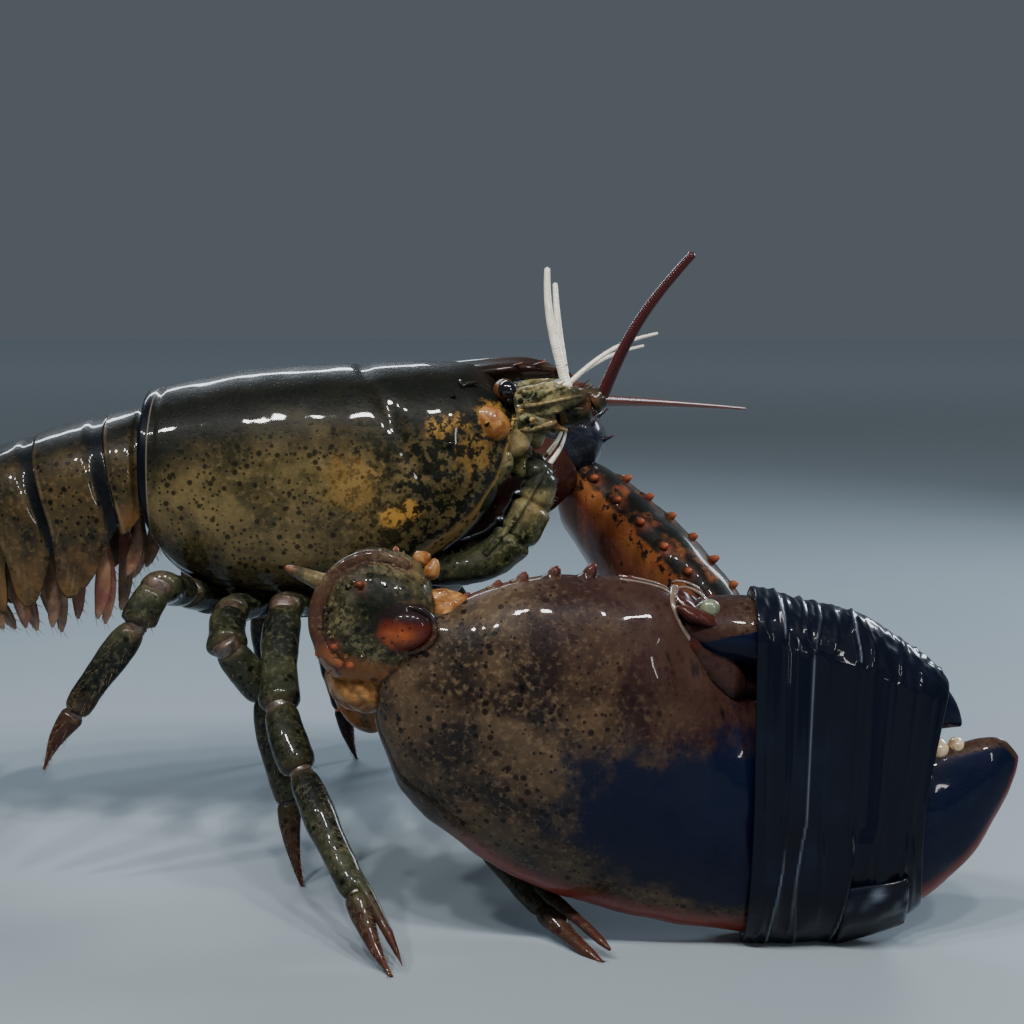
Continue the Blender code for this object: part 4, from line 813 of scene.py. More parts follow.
# the palm's rim behind the finger, along the claw and up
HINGE_LIP = [(104.0, 49.0), (103.5, 44.0), (105.5, 39.0), (111.0, 32.5), (117.0, 26.0), (121.0, 20.0)]
palm = claw_solid(CRUSHER, "", -4.0, 251.0, 150)
for v in palm.verts:
    away = min((Vector((v.co.x, v.co.z)) - Vector(a).lerp(Vector(b), t)).length
               for a, b in zip(HINGE_LIP, HINGE_LIP[1:]) for t in (0.0, 0.25, 0.5, 0.75))
    if away < 9.0:
        v.co.y *= 1.0 + 0.05 * bell(away, 2.0) - 0.035 * bell(away - 4.5, 2.2)
weather(palm, 0.8, 0.16)
warts = []
# the blunt spines: place along the claw, share of the half width, height, radius
for x, share, lift, radius in ((35.0, 0.0, 3.5, 3.2), (44.5, 0.0, 4.5, 3.8), (56.5, 0.0, 5.5, 4.2),
                               (70.5, 0.0, 6.5, 4.4), (86.0, 0.05, 2.5, 3.0), (40.0, 0.45, 4.0, 3.4),
                               (60.0, 0.45, 3.5, 3.2), (82.0, 0.45, 4.0, 3.4), (98.0, 0.4, 3.0, 3.0),
                               (24.0, 0.0, 2.5, 2.8)):
    top, half = curve(CRUSHER["top"], x), curve(CRUSHER["half"], x)
    root = Vector((x - 1.0, share * half, top - abs(share) * 16.0 - 2.2))
    tip = root + Vector((2.0, share * 4.0, lift * 0.8 + 1.8))
    thorn(palm, root, tip, radius * 0.72, 14, 1.35, 0.62)
    warts.append(tip)
settle(palm, "crusher_palm", paint, ["palm_right"], frame_in=RIGHT_CLAW, traits={
    "hinge": lambda p: clipped((p.x + 0.9 * p.z - 60.0) / 70.0) if p.x < 150.0
            else 0.5 * max(0.0, (p.z + 18.0) / 20.0),
    "navy_and_gap_shade": lambda p: (max(0.0, 1.0 - math.hypot((p.x - 132.0) / 84.0, (p.z + 40.0) / 56.0)) * 1.3
                        * clipped((p.z - curve(CRUSHER["foot"], p.x) - 8.0) / 10.0)
                        + 1.5 * clipped((p.x - 196.0) / 12.0)
                        * clipped((curve(CRUSHER["top"], p.x) - 1.0 - p.z) / 7.0)),
    "dots": lambda p: max(1.0 if math.hypot(p.x - x, p.z - z) < r else 0.0
                          for x, z, r in ((116.0, 21.0, 2.3), (104.0, 25.5, 1.2), (128.5, 5.0, 1.3))),
    "keel": lambda p: max(0.0, 1.0 - max(0.0, p.z - curve(CRUSHER["foot"], p.x) - 5.0) / 7.0)
            * clipped((p.x - 25.0) / 20.0),
    "warts": close_to(warts, 3.6),
    "lip": close_to([Vector((x, -curve(CRUSHER["half"], x) * 0.75, z)) for x, z in HINGE_LIP], 6.0)})

finger = claw_solid(CRUSHER, "finger_", 106.0, 226.0, 90, 1.6)
weather(finger, 0.5, 0.14)
settle(finger, "crusher_finger", paint, ["finger_right"], frame_in=RIGHT_CLAW, traits={
    "hinge": lambda p: max(0.0, 1.0 - max(0.0, p.x - 120.0) / 30.0),
    # the navy tip, and painted shade: the finger's lower side near the hinge black, in the gap under its base
    "navy_and_gap_shade": lambda p: max(1.4 * clipped((p.x - 185.0) / 20.0),
                           1.5 * clipped((33.0 + 0.37 * (p.x - 115.0) - p.z) / 4.0) if p.x < 150.0 else 0.0)})

tooth_finish = Finish("tooth_ivory", Roughness=0.3, Coat_Weight=0.7, Coat_Roughness=0.05)
stain = tooth_finish.cloud(220.0, 4.0)
tooth_finish.feed(Base_Color=tooth_finish.blend(stain.step(0.4, 0.7), (0.66, 0.52, 0.33), (0.30, 0.19, 0.10)),
                  Normal=tooth_finish.relief(stain, 0.3, 0.4))
teeth = bmesh.new()
for x, size in ((146.0, 4.6), (156.0, 5.2), (167.0, 5.4), (179.0, 5.0), (190.0, 4.4), (201.0, 3.8),
                (211.0, 3.6), (219.0, 4.6), (226.0, 3.4)):
    low = Matrix.Translation((x, 0.0, curve(CRUSHER["top"], x) - 0.5)) @ Matrix.Diagonal((0.95, 1.25, 1.0, 1.0))
    bmesh.ops.create_icosphere(teeth, subdivisions=3, radius=size, matrix=low)
    if x < 205.0:
        high = (Matrix.Translation((x + 5.0, 0.0, curve(CRUSHER["finger_foot"], x + 5.0) + 1.5))
                @ Matrix.Diagonal((0.95, 1.2, 0.9, 1.0)))
        bmesh.ops.create_icosphere(teeth, subdivisions=3, radius=size * 0.85, matrix=high)
weather(teeth, 0.5, 0.15)
settle(teeth, "crusher_teeth", tooth_finish, [], frame_in=RIGHT_CLAW)


# Joint skin: soft membrane that closes each claw joint, folded where it slackens, orange at the wrist
# and dark red at the crusher's hinge, where a clear rim and the pale knuckle of the finger show.
membrane_finish = Finish("joint_skin", Coat_Roughness=0.08, Coat_IOR=1.25, IOR=1.42, Specular_IOR_Level=0.15)
folds = membrane_finish.cloud(120.0, 4.0, 0.55, 1.2)
membrane_tint = membrane_finish.blend(folds.step(0.35, 0.7), (0.17, 0.062, 0.018), (0.37, 0.19, 0.060))
membrane_tint = membrane_finish.layers(membrane_tint, [
    (membrane_finish.trait("blood") * (0.90 + 0.10 * folds), (0.036, 0.0060, 0.0066)),
    # painted shade: the hinge skin black and matte where it lies in the gap under the finger
    (membrane_finish.trait("navy_and_gap_shade"), (0.006, 0.006, 0.008)),
])
membrane_finish.feed(Base_Color=membrane_tint, Normal=membrane_finish.relief(folds, 1.0, 0.6),
                     Coat_Weight=0.7 - 0.68 * membrane_finish.trait("navy_and_gap_shade"),
                     Roughness=0.38 + 0.4 * membrane_finish.trait("navy_and_gap_shade"))


def on_claw(shape, part, x, z):
    """How far out a claw's skin stands at a place along it and a height, nought beyond its edges."""
    top, foot, half, middle = claw_section(shape, part, x)
    rise = abs(z - middle) / (top - middle if z > middle else middle - foot)
    return half * (1.0 - rise ** CLAW_ROUND) ** (1.0 / CLAW_ROUND) if rise < 1.0 else 0.0


def lobe(bm, middle, size, lean=0.0, fine=5):
    """Adds an ellipsoid, its front dipped by the lean."""
    bmesh.ops.create_icosphere(bm, subdivisions=fine, radius=1.0, matrix=Matrix.Translation(middle)
                               @ Matrix.Rotation(lean, 4, "Y") @ Matrix.Diagonal((*size, 1.0)))


def lobe_pairs(bm, rows, fine=5):
    """Adds ellipsoids in pairs, each on both sides of the middle."""
    for side in (-1.0, 1.0):
        for (x, out, z), size, lean in rows:
            lobe(bm, (x, side * out, z), size, lean, fine)


hinge_skin = bmesh.new()
lobe_pairs(hinge_skin, (((113.5, 12.4, 41.0), (9.5, 4.9, 2.8), 0.28),
                        ((108.5, 5.0, 42.0), (6.0, 6.0, 4.0), 0.5), ((116.5, 8.0, 31.0), (8.5, 5.6, 8.5), 1.0)))
weather(hinge_skin, 1.4, 0.9)
settle(hinge_skin, "crusher_hinge_skin", membrane_finish, [], frame_in=RIGHT_CLAW, traits={
    "blood": lambda p: 1.0,
    # painted shade: the lower part of the hinge skin, in the gap under the finger
    "navy_and_gap_shade": lambda p: clipped((38.0 + 0.28 * (113.5 - p.x) - p.z) / 2.0) * clipped((p.z - 30.0) / 4.0)})
hinge_wedge = bmesh.new()
lobe_pairs(hinge_wedge, (((123.5, 8.0, 24.5), (19.0, 6.2, 9.0), 0.84),
                         ((135.5, 3.6, 17.5), (15.5, 5.6, 6.5), 0.12)))
weather(hinge_wedge, 1.0, 0.3)
settle(hinge_wedge, "crusher_hinge_wedge", crusher_finish, [], frame_in=RIGHT_CLAW, traits={
    "hinge": lambda p: 1.0})
lip_finish = mottled("clear_lip", 160.0, (0.085, 0.045, 0.036), (0.22, 0.165, 0.125),
                     Roughness=0.22, Coat_Weight=0.9, Coat_Roughness=0.04, IOR=1.4)
lips = bmesh.new()
knuckle = bmesh.new()
for side in (-1.0, 1.0):
    path = [(x, side * (max(on_claw(CRUSHER, "", x, z), on_claw(CRUSHER, "finger_", x, z)) + 0.5), z)
            for x, z in HINGE_LIP]
    tube(lips, [(at, 0.95 + 0.35 * math.sin(9.0 * t), 1.3 + 0.4 * math.sin(7.0 * t + 1.0))
                for at, t in course(path, 0.8)], 14, 0.3, 0.3, Vector((1.0, 0.0, 0.4)))
    brow = [(x, side * (on_claw(CRUSHER, "", x, curve(CRUSHER["top"], x) - 0.6) + 0.2),
             curve(CRUSHER["top"], x) - 0.3) for x in (82.0, 88.0, 94.0, 99.0, 103.5)]
    tube(lips, [(at, 0.5, 0.35 + 0.45 * t) for at, t in course(brow, 0.8)], 12, 0.2, 0.2,
         Vector((0.0, 1.0, 0.0)))
    loop = [(110.5 + 6.8 * math.cos(a), side * (9.0 - 3.0 * math.sin(a)),
             46.8 + 3.4 * math.sin(a) - 1.8 * math.cos(a)) for a in turns(9)[:8]]
    tube(lips, [(at, 0.42 + 0.25 * math.sin(6.0 * t), 0.75) for at, t in course(loop, 0.6)], 12, 0.2,
         0.2, Vector((0.3, 1.0, 0.2)))
    lobe(knuckle, (118.0, side * 10.3, 42.8 - 1.6 * side), (4.0, 3.0, 3.8), fine=4)
settle(lips, "crusher_hinge_lip", lip_finish, [], frame_in=RIGHT_CLAW)
knuckle_finish = mottled("knuckle", 260.0, (0.075, 0.095, 0.058), (0.20, 0.23, 0.145),
                         Roughness=0.25, Coat_Weight=0.9, Coat_Roughness=0.04)
weather(knuckle, 0.4, 0.1)
settle(knuckle, "crusher_knuckles", knuckle_finish, [], frame_in=RIGHT_CLAW)


# Claw wrap: a wide black rubber band rolled over both fingers in several turns, stretched so tight that
# it creases round the claw, with its crimped upper rim and its free end tucked under at the bottom.
rubber = Finish("rubber", Coat_Weight=0.9, Coat_Roughness=0.05, Coat_IOR=1.24, IOR=1.5, Specular_IOR_Level=0.06)
dust = rubber.cloud(500.0, 3.0)
smear = rubber.cloud(26.0, 4.0)
rubber_tint = rubber.blend(smear.step(0.5, 0.75), (0.0026, 0.0042, 0.0100), (0.0055, 0.0095, 0.0205))
# painted highlight: pale lines along the crests of the strongest creases, standing in for reflections of the
# lamps
rubber_tint = rubber.blend(rubber.trait("crease_highlight") * (0.35 + 0.65 * rubber.cloud(90.0)), rubber_tint,
                           (0.16, 0.19, 0.24))
rubber.feed(Base_Color=rubber_tint, Roughness=0.28 + 0.25 * smear, Normal=rubber.relief(dust, 0.12, 0.35))
BAND_CLEAR, BAND_WALL, BAND_TALL, BAND_SIDES = 1.1, 3.0, 2.3, 150
BAND_REAR, BAND_FRONT = 142.0, 221.0
BAND_SLANT = [(142.0, -0.15), (152.0, -0.14), (164.0, -0.125), (178.0, -0.11), (190.0, -0.095),
              (202.0, -0.08), (212.0, -0.07), (221.0, -0.06)]
# each crease's place, width, height and turn round the claw
CREASES = ((146.5, 1.3, 0.4, 0.3), (152.5, 0.7, 1.1, 1.2), (155.0, 0.5, 0.3, 2.4), (161.0, 0.6, 1.0, 2.0),
           (163.6, 0.6, 0.75, 4.0), (171.5, 1.0, 0.35, 5.2), (181.5, 0.7, 1.2, 0.8), (184.5, 0.8, 0.4, 3.1),
           (191.0, 1.6, 0.3, 2.2), (197.5, 1.0, 0.5, 4.4), (203.0, 1.4, 0.25, 0.4), (207.5, 1.4, 0.5, 1.1),
           (215.0, 1.2, 0.4, 5.0))


def creases_at(x, a):
    """How far the wrap's creases raise it at a station and a turn, and how strongly a highlight is painted on
    their crests there.
    """
    rise = glint = 0.0
    for at, width, height, phase in CREASES:
        away = x - at - 1.7 * math.sin(a * 2.0 + phase) - 0.7 * math.sin(a * 5.0 + phase * 3.0)
        there = 0.5 + 0.5 * math.sin(a * 3.0 + phase * 2.0)
        rise += height * bell(away, width) * (0.45 + 0.55 * there)
        glint = max(glint, bell(away - 0.2, 0.36) * clipped((there - 0.35) * 3.0)
                   * clipped((height - 0.62) * 2.2))
    return rise, glint


def wrap_ring(x, slant, offset, sides, relief):
    """A turn of the wrap: stretched straight over the fingers' common outline, with its creases."""
    outline_at = {}
    ring = []
    for a in turns(sides, 0.5):
        c, s = Vector((BAND_TALL * math.cos(a), math.sin(a))).normalized()
        best = Vector((x, 0.0, 0.0))
        for _ in range(3):
            station = round(x + slant * best.z, 1)
            if station not in outline_at:
                outline_at[station] = (claw_ring(CRUSHER, "", station, 60)
                                       + claw_ring(CRUSHER, "finger_", station, 60))
            best = max(outline_at[station], key=lambda p: p.y * c + p.z * s)
        waist = 8.0 * max(0.0, (x - 196.0) / 25.0) * max(0.0, 1.0 - ((best.z + 18.0) / 48.0) ** 2)
        rise = offset
        if relief:
            rise += creases_at(x, a)[0] + 0.35 * noise.noise(Vector((x / 9.0, a * 2.0, 1.0)))
            rise += max(0.0, math.sin(a)) ** 10 * 0.7 * noise.noise(Vector((x / 2.6, a * 6.0, 5.0)))
        ring.append(Vector((x + slant * best.z - waist, best.y + c * rise, best.z + s * rise)))
    return ring


wrap = bmesh.new()
crease_highlight = wrap.verts.layers.float.new("crease_highlight")
wrap_stations = spread(BAND_REAR, BAND_FRONT, 0.6)
outer = [wrap_ring(x, curve(BAND_SLANT, x), BAND_CLEAR + BAND_WALL, BAND_SIDES, True) for x in wrap_stations]
inner = [wrap_ring(x, curve(BAND_SLANT, x), BAND_CLEAR, BAND_SIDES, False)
         for x in (BAND_FRONT, 200.0, 180.0, 160.0, BAND_REAR)]
loop = list(bmesh.ops.create_circle(wrap, segments=BAND_SIDES, radius=1.0)["verts"])
first = edges = ring_edges(wrap, loop)
for number, points in enumerate(outer + inner):
    if number:
        loop, edges = next_ring(wrap, loop, edges)
    for vert, point, a in zip(loop, points, turns(BAND_SIDES, 0.5)):
        vert.co = point
        vert[crease_highlight] = creases_at(wrap_stations[number], a)[1] if number < len(outer) else 0.0
bmesh.ops.bridge_loops(wrap, edges=first + edges)
settle(wrap, "rubber_wrap", rubber, ["claw_band"], frame_in=RIGHT_CLAW)

wrap_end = bmesh.new()
rings = []
for x in spread(184.0, 211.0, 1.5):
    low = wrap_ring(x, -0.10, BAND_CLEAR + BAND_WALL + 0.4, 80, False)
    high = wrap_ring(x, -0.10, BAND_CLEAR + BAND_WALL + 2.2, 80, False)
    for k, point in enumerate(high):
        point += (point - low[k]).normalized() * (0.9 * bell(k - 49.0, 1.6) + 0.7 * bell(k - 56.5, 1.2))
    rings.append(low[45:61] + high[60:44:-1])
skin(wrap_end, rings)
weather(wrap_end, 0.4, 0.1)
# painted highlight: two pale lines across the tucked end
settle(wrap_end, "rubber_wrap_end", rubber, ["claw_band_end"], frame_in=RIGHT_CLAW, traits={
    "crease_highlight": lambda p: max(bell(p.z - z - 0.12 * p.x, 0.7) * (0.5 + 0.5 * math.sin(0.5 * p.x + z))
                            for z in (-80.5, -86.0))})


# Cutter claw: the slimmer left claw, orange-red below and dark above, with two rows of orange-tipped
# spines on its upper edge and fine teeth along both fingers.
LEFT_CLAW = claw_frame(Vector((35.0, 107.0, 158.0)), 41.0, 35.0, 42.0)
paint, tint = shell("cutter_shell", (0.095, 0.020, 0.012), (0.20, 0.054, 0.023), (0.30, 0.100, 0.040),
                    0.25, 0.6)
crest = paint.trait("crest") + (paint.cloud(75.0, 5.0, 0.6) - 0.5) * 0.8
tint = paint.blend(crest.step(0.05, 0.4) * (0.4 + 0.6 * paint.cloud(110.0, 4.0).step(0.4, 0.6)), tint,
                   (0.225, 0.082, 0.027))
umber = paint.blend(paint.cloud(150.0, 6.0, 0.66).step(0.42, 0.60) * paint.trait("outer"),
                    (0.010, 0.011, 0.010), (0.092, 0.058, 0.028))
tint = paint.layers(tint, [
    (crest.step(0.80, 0.98), umber),
    (paint.cloud(190.0, 5.0, 0.62).step(0.54, 0.58) * crest.step(0.15, 0.6) * 0.95, (0.010, 0.009, 0.008)),
    (paint.trait("tips") * 0.95, (0.34, 0.086, 0.036)),
])
paint.feed(Base_Color=tint)
palm = claw_solid(CUTTER, "", -4.0, 245.0, 110)
weather(palm, 0.7, 0.18)
cutter_tips = []
for k in range(6):
    for share, x in ((-0.08, 12.0 + 18.0 * k), (0.66, 20.0 + 16.0 * k)):
        if x > 102.0:
            continue
        top, foot, half, _ = claw_section(CUTTER, "", x)
        out = Vector((0.0, share, (1.0 - abs(share) ** CLAW_ROUND) ** (1.0 / CLAW_ROUND)))
        root = Vector((x - 1.0, out.y * half * 0.92, foot + (0.54 + 0.46 * 0.93 * out.z) * (top - foot)))
        tip = root + out.normalized() * random.uniform(5.4, 6.8) + Vector((3.0, 0.0, 0.0))
        thorn(palm, root, tip, 2.8, 14, 1.4, 0.5)
        cutter_tips.append(tip)


def cutter_turn(p):
    """Where a point is round the cutter: 180 on the inner face, 90 on top, nought on the outer face."""
    top, _, half, middle = claw_section(CUTTER, "", p.x)
    turn = math.degrees(math.atan2((p.z - middle) / max(1.0, top - middle), p.y / half))
    return turn + 360.0 if turn < -90.0 else turn


def cutter_crest(p):
    """One on the dark upper and outer side of the cutter, nought on its inner face and along its keel."""
    fade = 1.0 - 0.5 * clipped((p.x - 150.0) / 70.0)
    return fade * clipped(min((138.0 - cutter_turn(p)) / 36.0, (cutter_turn(p) + 75.0) / 30.0))


settle(palm, "cutter_palm", paint, ["palm_left"], frame_in=LEFT_CLAW, traits={
    "crest": cutter_crest,
    "outer": lambda p: clipped((62.0 - cutter_turn(p)) / 30.0) if cutter_turn(p) < 90.0 else 0.0,
    "tips": close_to(cutter_tips, 3.4)})
finger = claw_solid(CUTTER, "finger_", 102.0, 240.0, 70, 1.8)
weather(finger, 0.5, 0.14)
settle(finger, "cutter_finger", paint, ["finger_left"], frame_in=LEFT_CLAW, traits={
    "crest": lambda p: clipped((p.z - 8.0 + 0.7 * p.y) / 14.0) * (1.0 - 0.5 * clipped((p.x - 150.0) / 70.0)),
    "outer": lambda p: clipped(p.y / 5.0)})
teeth = bmesh.new()
for k in range(26):
    x = 134.0 + 3.9 * k
    size = 1.9 + 1.1 * (k % 3 == 0) - 0.035 * k
    for height in (curve(CUTTER["top"], x) - 0.3, curve(CUTTER["finger_foot"], x) + 0.6):
        stand = Matrix.Translation((x, 0.0, height)) @ Matrix.Diagonal((1.0, 1.1, 1.2, 1.0))
        bmesh.ops.create_icosphere(teeth, subdivisions=2, radius=size, matrix=stand)
settle(teeth, "cutter_teeth", tooth_finish, [], frame_in=LEFT_CLAW)


# Claw arms: each claw hangs on a ringed upper arm and a heavy spined wrist block, hard shell joined by
# orange skin. The right wrist has a raised brown lip round its hollow and an oval red knob to turn on.
arm_finish, tint = shell("arm_shell", (0.008, 0.009, 0.006), (0.040, 0.036, 0.018), (0.15, 0.11, 0.05), 0.6)
paint = arm_finish
ember = paint.trait("ember") * (0.5 + 0.5 * paint.cloud(190.0, 5.0).step(0.36, 0.60))
tint = paint.layers(tint, [
    ((0.6 * paint.cloud(460.0, 5.0, 0.68) + 0.4 * paint.cloud(70.0)).step(0.522, 0.592) * 0.68,
     (0.135, 0.115, 0.060)),
    (paint.near((-50.0, -143.0, 143.0), 11.0, 0.5) * 0.85, (0.0045, 0.0065, 0.0050)),
    (paint.trait("tan") * (0.65 + 0.35 * paint.cloud(85.0, 4.0)), (0.28, 0.105, 0.033)),
    (paint.flecks(190.0, 0.42, 0.7) * paint.trait("tan") * 0.8, (0.025, 0.020, 0.014)),
    (paint.trait("cream") * (0.4 + 0.6 * paint.cloud(140.0, 4.0)), (0.36, 0.28, 0.12)),
    (paint.trait("rim") * 0.92, (0.068, 0.027, 0.020)),
    (paint.trait("wine") * 0.85, (0.040, 0.011, 0.009)),
    (paint.trait("knob"), paint.blend(ember, (0.060, 0.0095, 0.0085), (0.33, 0.085, 0.024))),
    # painted shadow: the top of the knob darkened where it sinks into the wrist
    (paint.trait("lid") * 0.95, (0.012, 0.007, 0.008)),
    (paint.flecks(520.0, 0.36, 0.5) * paint.trait("knob") * 0.8, (0.03, 0.005, 0.006)),
    (paint.trait("tips") * 0.8, (0.26, 0.056, 0.026)),
    (paint.trait("far") * 0.8, (0.010, 0.014, 0.028)),
])
paint.feed(Base_Color=tint)


def upper_arm(name, node, a, b, ra, rb, marks, traits=None):
    """One ring of an arm, flared before each joint, with spines at shares of its length and turns round it."""
    arm = bmesh.new()
    share = [(0.0, 0.80), (0.04, 0.90), (0.12, 1.0), (0.4, 0.97), (0.75, 1.06), (0.88, 1.08), (0.93, 1.02),
             (0.955, 1.06), (1.0, 0.85)]
    stations = []
    for t in spread(0.0, 1.0, 0.02):
        radius = (ra + (rb - ra) * t) * curve(share, t)
        stations.append((a.lerp(b, t), radius * 0.82, radius))
    tube(arm, stations, 56, 1.5, 1.5, UPRIGHT)
    weather(arm, 0.9, 0.25)
    along = (b - a).normalized()
    side = UPRIGHT.cross(along).normalized()
    rise = along.cross(side)
    tips = []
    for t, turn, length in marks:
        radius = (ra + (rb - ra) * t) * curve(share, t)
        out = side * math.cos(turn) * 0.82 + rise * math.sin(turn)
        root = a.lerp(b, t) + out * radius * 0.93
        tips.append(root + out.normalized() * length + along * length * 0.5)
        thorn(arm, root, tips[-1], length * 0.33, 12)
    settle(arm, name, arm_finish, [node], traits={**(traits or {}), "tips": close_to(tips, 3.0)})


# shoulder, elbow and wrist of each arm; spines by share of the ring's length, turn round it, and height
RIGHT_ARM = [Vector((-46.0, -17.0, 116.0)), Vector((-36.0, -50.0, 104.0)), Vector((-62.0, -104.0, 97.0))]
LEFT_ARM = [Vector((-46.0, 17.0, 116.0)), Vector((-34.0, 44.0, 124.0)), Vector((24.0, 90.0, 172.0))]
upper_arm("arm_root_right", "ischium_right", RIGHT_ARM[0], RIGHT_ARM[1], 13.0, 15.0,
          ((0.7, 1.9, 4.0), (0.8, -1.2, 3.5)))
upper_arm("arm_right", "merus_right", RIGHT_ARM[1], RIGHT_ARM[2], 15.0, 18.0,
          ((0.25, 1.6, 4.5), (0.5, 1.7, 5.0), (0.75, 1.5, 5.5), (0.86, 2.6, 5.5), (0.9, 0.4, 5.0),
           (0.84, -1.4, 4.0), (0.9, 3.7, 4.5)),
          {"tan": lambda p: clipped((-p.y - 72.0) / 16.0)
           * (1.0 - 0.85 * bell(p.x + 64.0 + 0.3 * (p.z - 95.0), 2.6))})
upper_arm("arm_root_left", "ischium_left", LEFT_ARM[0], LEFT_ARM[1], 13.0, 15.0, ((0.7, 1.9, 4.0),))
upper_arm("arm_left", "merus_left", LEFT_ARM[1], LEFT_ARM[2], 15.0, 17.0,
          ((0.3, 1.6, 4.0), (0.6, 1.7, 4.5), (0.85, 1.4, 5.0), (0.88, -1.2, 4.5)), {"wine": lambda p: 1.0})


def wrist_block(bm, middle, size, lean, sides=(110, 76)):
    """A wrist, squarer than a ball, and the way to a point on it from a direction of its own."""
    pose = Matrix.Translation(middle) @ Matrix.Rotation(lean, 4, "Y") @ Matrix.Diagonal((*size, 1.0))

    def on_skin(direction, lift=0.0):
        square = (1.0 + 0.14 * (1.0 - abs(direction.z))
                  * abs(math.sin(2.0 * math.atan2(direction.y, direction.x))))
        return pose @ (direction * (square + lift))

    verts = bmesh.ops.create_uvsphere(bm, u_segments=sides[0], v_segments=sides[1], radius=1.0)["verts"]
    for vert in verts:
        vert.co = on_skin(vert.co.normalized())
    return on_skin


def facing(turn, nearness):
    """A direction: degrees up from straight ahead, and how far it faces the near side."""
    turn, nearness = math.radians(turn), math.radians(nearness)
    return Vector((math.cos(turn) * math.cos(nearness), -math.sin(nearness),
                   math.sin(turn) * math.cos(nearness)))


RIGHT_WRIST = Vector((-54.0, -122.0, 131.0))
wrist = bmesh.new()
on_wrist = wrist_block(wrist, RIGHT_WRIST, (24.6, 23.6, 28.4), 0.2)
for v in wrist.verts:
    hollow = bell((v.co - Vector((-74.0, -139.0, 139.0))).length, 9.0)
    v.co += (RIGHT_WRIST - v.co).normalized() * 2.2 * hollow
weather(wrist, 1.3, 0.45)
lip_path = [on_wrist(facing(turn, 36.0 - 14.0 * math.sin(math.radians(turn))), 0.012)
            for turn in (68.0, 90.0, 115.0, 140.0, 165.0, 190.0, 215.0, 238.0)]
lip = [(at, 2.3 + 1.0 * math.sin(math.pi * t), 1.8 + 0.4 * math.sin(7.0 * t))
       for at, t in course(lip_path, 1.2)]
tube(wrist, lip, 16, 0.6, 0.6, Vector((0.0, -1.0, 0.0)))
knob_at = Vector((-41.0, -142.5, 131.0))
lobe(wrist, knob_at, (10.2, 4.4, 7.6), -0.12, 4)
collar = [(knob_at + Vector((11.2 * math.cos(a), 1.2 + 0.6 * math.sin(2.0 * a), 8.6 * math.sin(a))), 1.5,
           1.5) for a in turns(44)]
tube(wrist, collar + collar[:2], 12, 0.3, 0.3, Vector((0.0, -1.0, 0.0)))
spines = []
for root, tip, radius in (((-72, -128, 146), (-88.5, -132, 154), 3.8),
                          ((-39, -128, 149), (-35.5, -130.5, 158.5), 3.2),
                          ((-58, -139, 147.5), (-58.6, -143.5, 149.5), 1.9),
                          ((-70, -134, 122), (-76.5, -138.5, 120.5), 3.6),
                          ((-48, -116, 151), (-46, -113, 159), 2.8),
                          ((-61, -137, 118), (-63.5, -142.5, 116.5), 3.2),
                          ((-74, -118, 134), (-80, -119, 137), 2.2),
                          ((-66, -139, 124), (-69.5, -143.0, 124.5), 2.8)):
    thorn(wrist, root, tip, radius, 14, 1.5, 0.4)
    spines.append((Vector(root), Vector(tip)))
for _ in range(70):
    way = facing(random.uniform(20.0, 260.0), random.uniform(-10.0, 70.0))
    root = on_wrist(way, -0.01)
    if (root - knob_at).length > 14.0:
        thorn(wrist, root, root + (root - RIGHT_WRIST).normalized() * random.uniform(0.8, 1.7),
              random.uniform(0.6, 1.0), 6)
settle(wrist, "wrist_right", arm_finish, ["carpus_right"], traits={
    "tan": lambda p: 0.95 * clipped((124.5 - p.z - 0.25 * (p.x + 70.0)) / 5.0),
    "cream": close_to([root.lerp(tip, 0.25) for root, tip in spines[:2]]
                      + [Vector((-31.0, -140.0, 155.0))], 4.5),
    "rim": lambda p: max(close_to([at for at, _, _ in lip[::3]], 3.2)(p),
                         close_to([at for at, _, _ in collar[::3]], 2.2)(p)),
    # painted shadow along the top of the knob
    "lid": lambda p: clipped((p.z - knob_at.z - 2.6 + 0.12 * (p.x - knob_at.x)) / 2.5)
            * (1.0 if math.hypot((p.x - knob_at.x) / 13.0, (p.z - knob_at.z) / 10.5) < 1.0 and p.y < -137.0
               else 0.0),
    "knob": lambda p: 1.0 if ((p.x - knob_at.x) / 10.6) ** 2 + ((p.z - knob_at.z) / 8.0) ** 2 < 1.0
            and p.y < -137.0 else 0.0,
    "ember": lambda p: bell(p.x - knob_at.x + 2.5, 6.5) * bell(p.z - knob_at.z + 2.2, 4.0),
    "tips": close_to([tip for _, tip in spines], 2.6)})

wrist_skins = bmesh.new()
for middle, size, lean in (((-25.0, -126.0, 137.0), (12.0, 5.2, 7.5), 0.25),
                           ((-28.0, -129.0, 131.0), (6.0, 5.4, 11.0), 0.45),
                           ((-35.0, -128.5, 156.5), (3.6, 3.2, 3.0), 0.3),
                           ((-31.0, -129.0, 152.5), (3.4, 3.6, 4.4), 0.2),
                           ((-58.0, -119.0, 106.0), (16.5, 18.0, 13.0), 0.1)):
    lobe(wrist_skins, middle, size, lean)
for v in wrist_skins.verts:
    v.co += (v.co - Vector((-48.0, -118.0, 128.0))).normalized() * 0.35 * math.sin(0.9 * v.co.x + 0.7 * v.co.z)
weather(wrist_skins, 1.3, 0.5)
settle(wrist_skins, "wrist_skin_right", membrane_finish, [], traits={
    "blood": lambda p: 0.9 * bell((p - Vector((-15.0, -136.0, 150.0))).length, 7.0)})

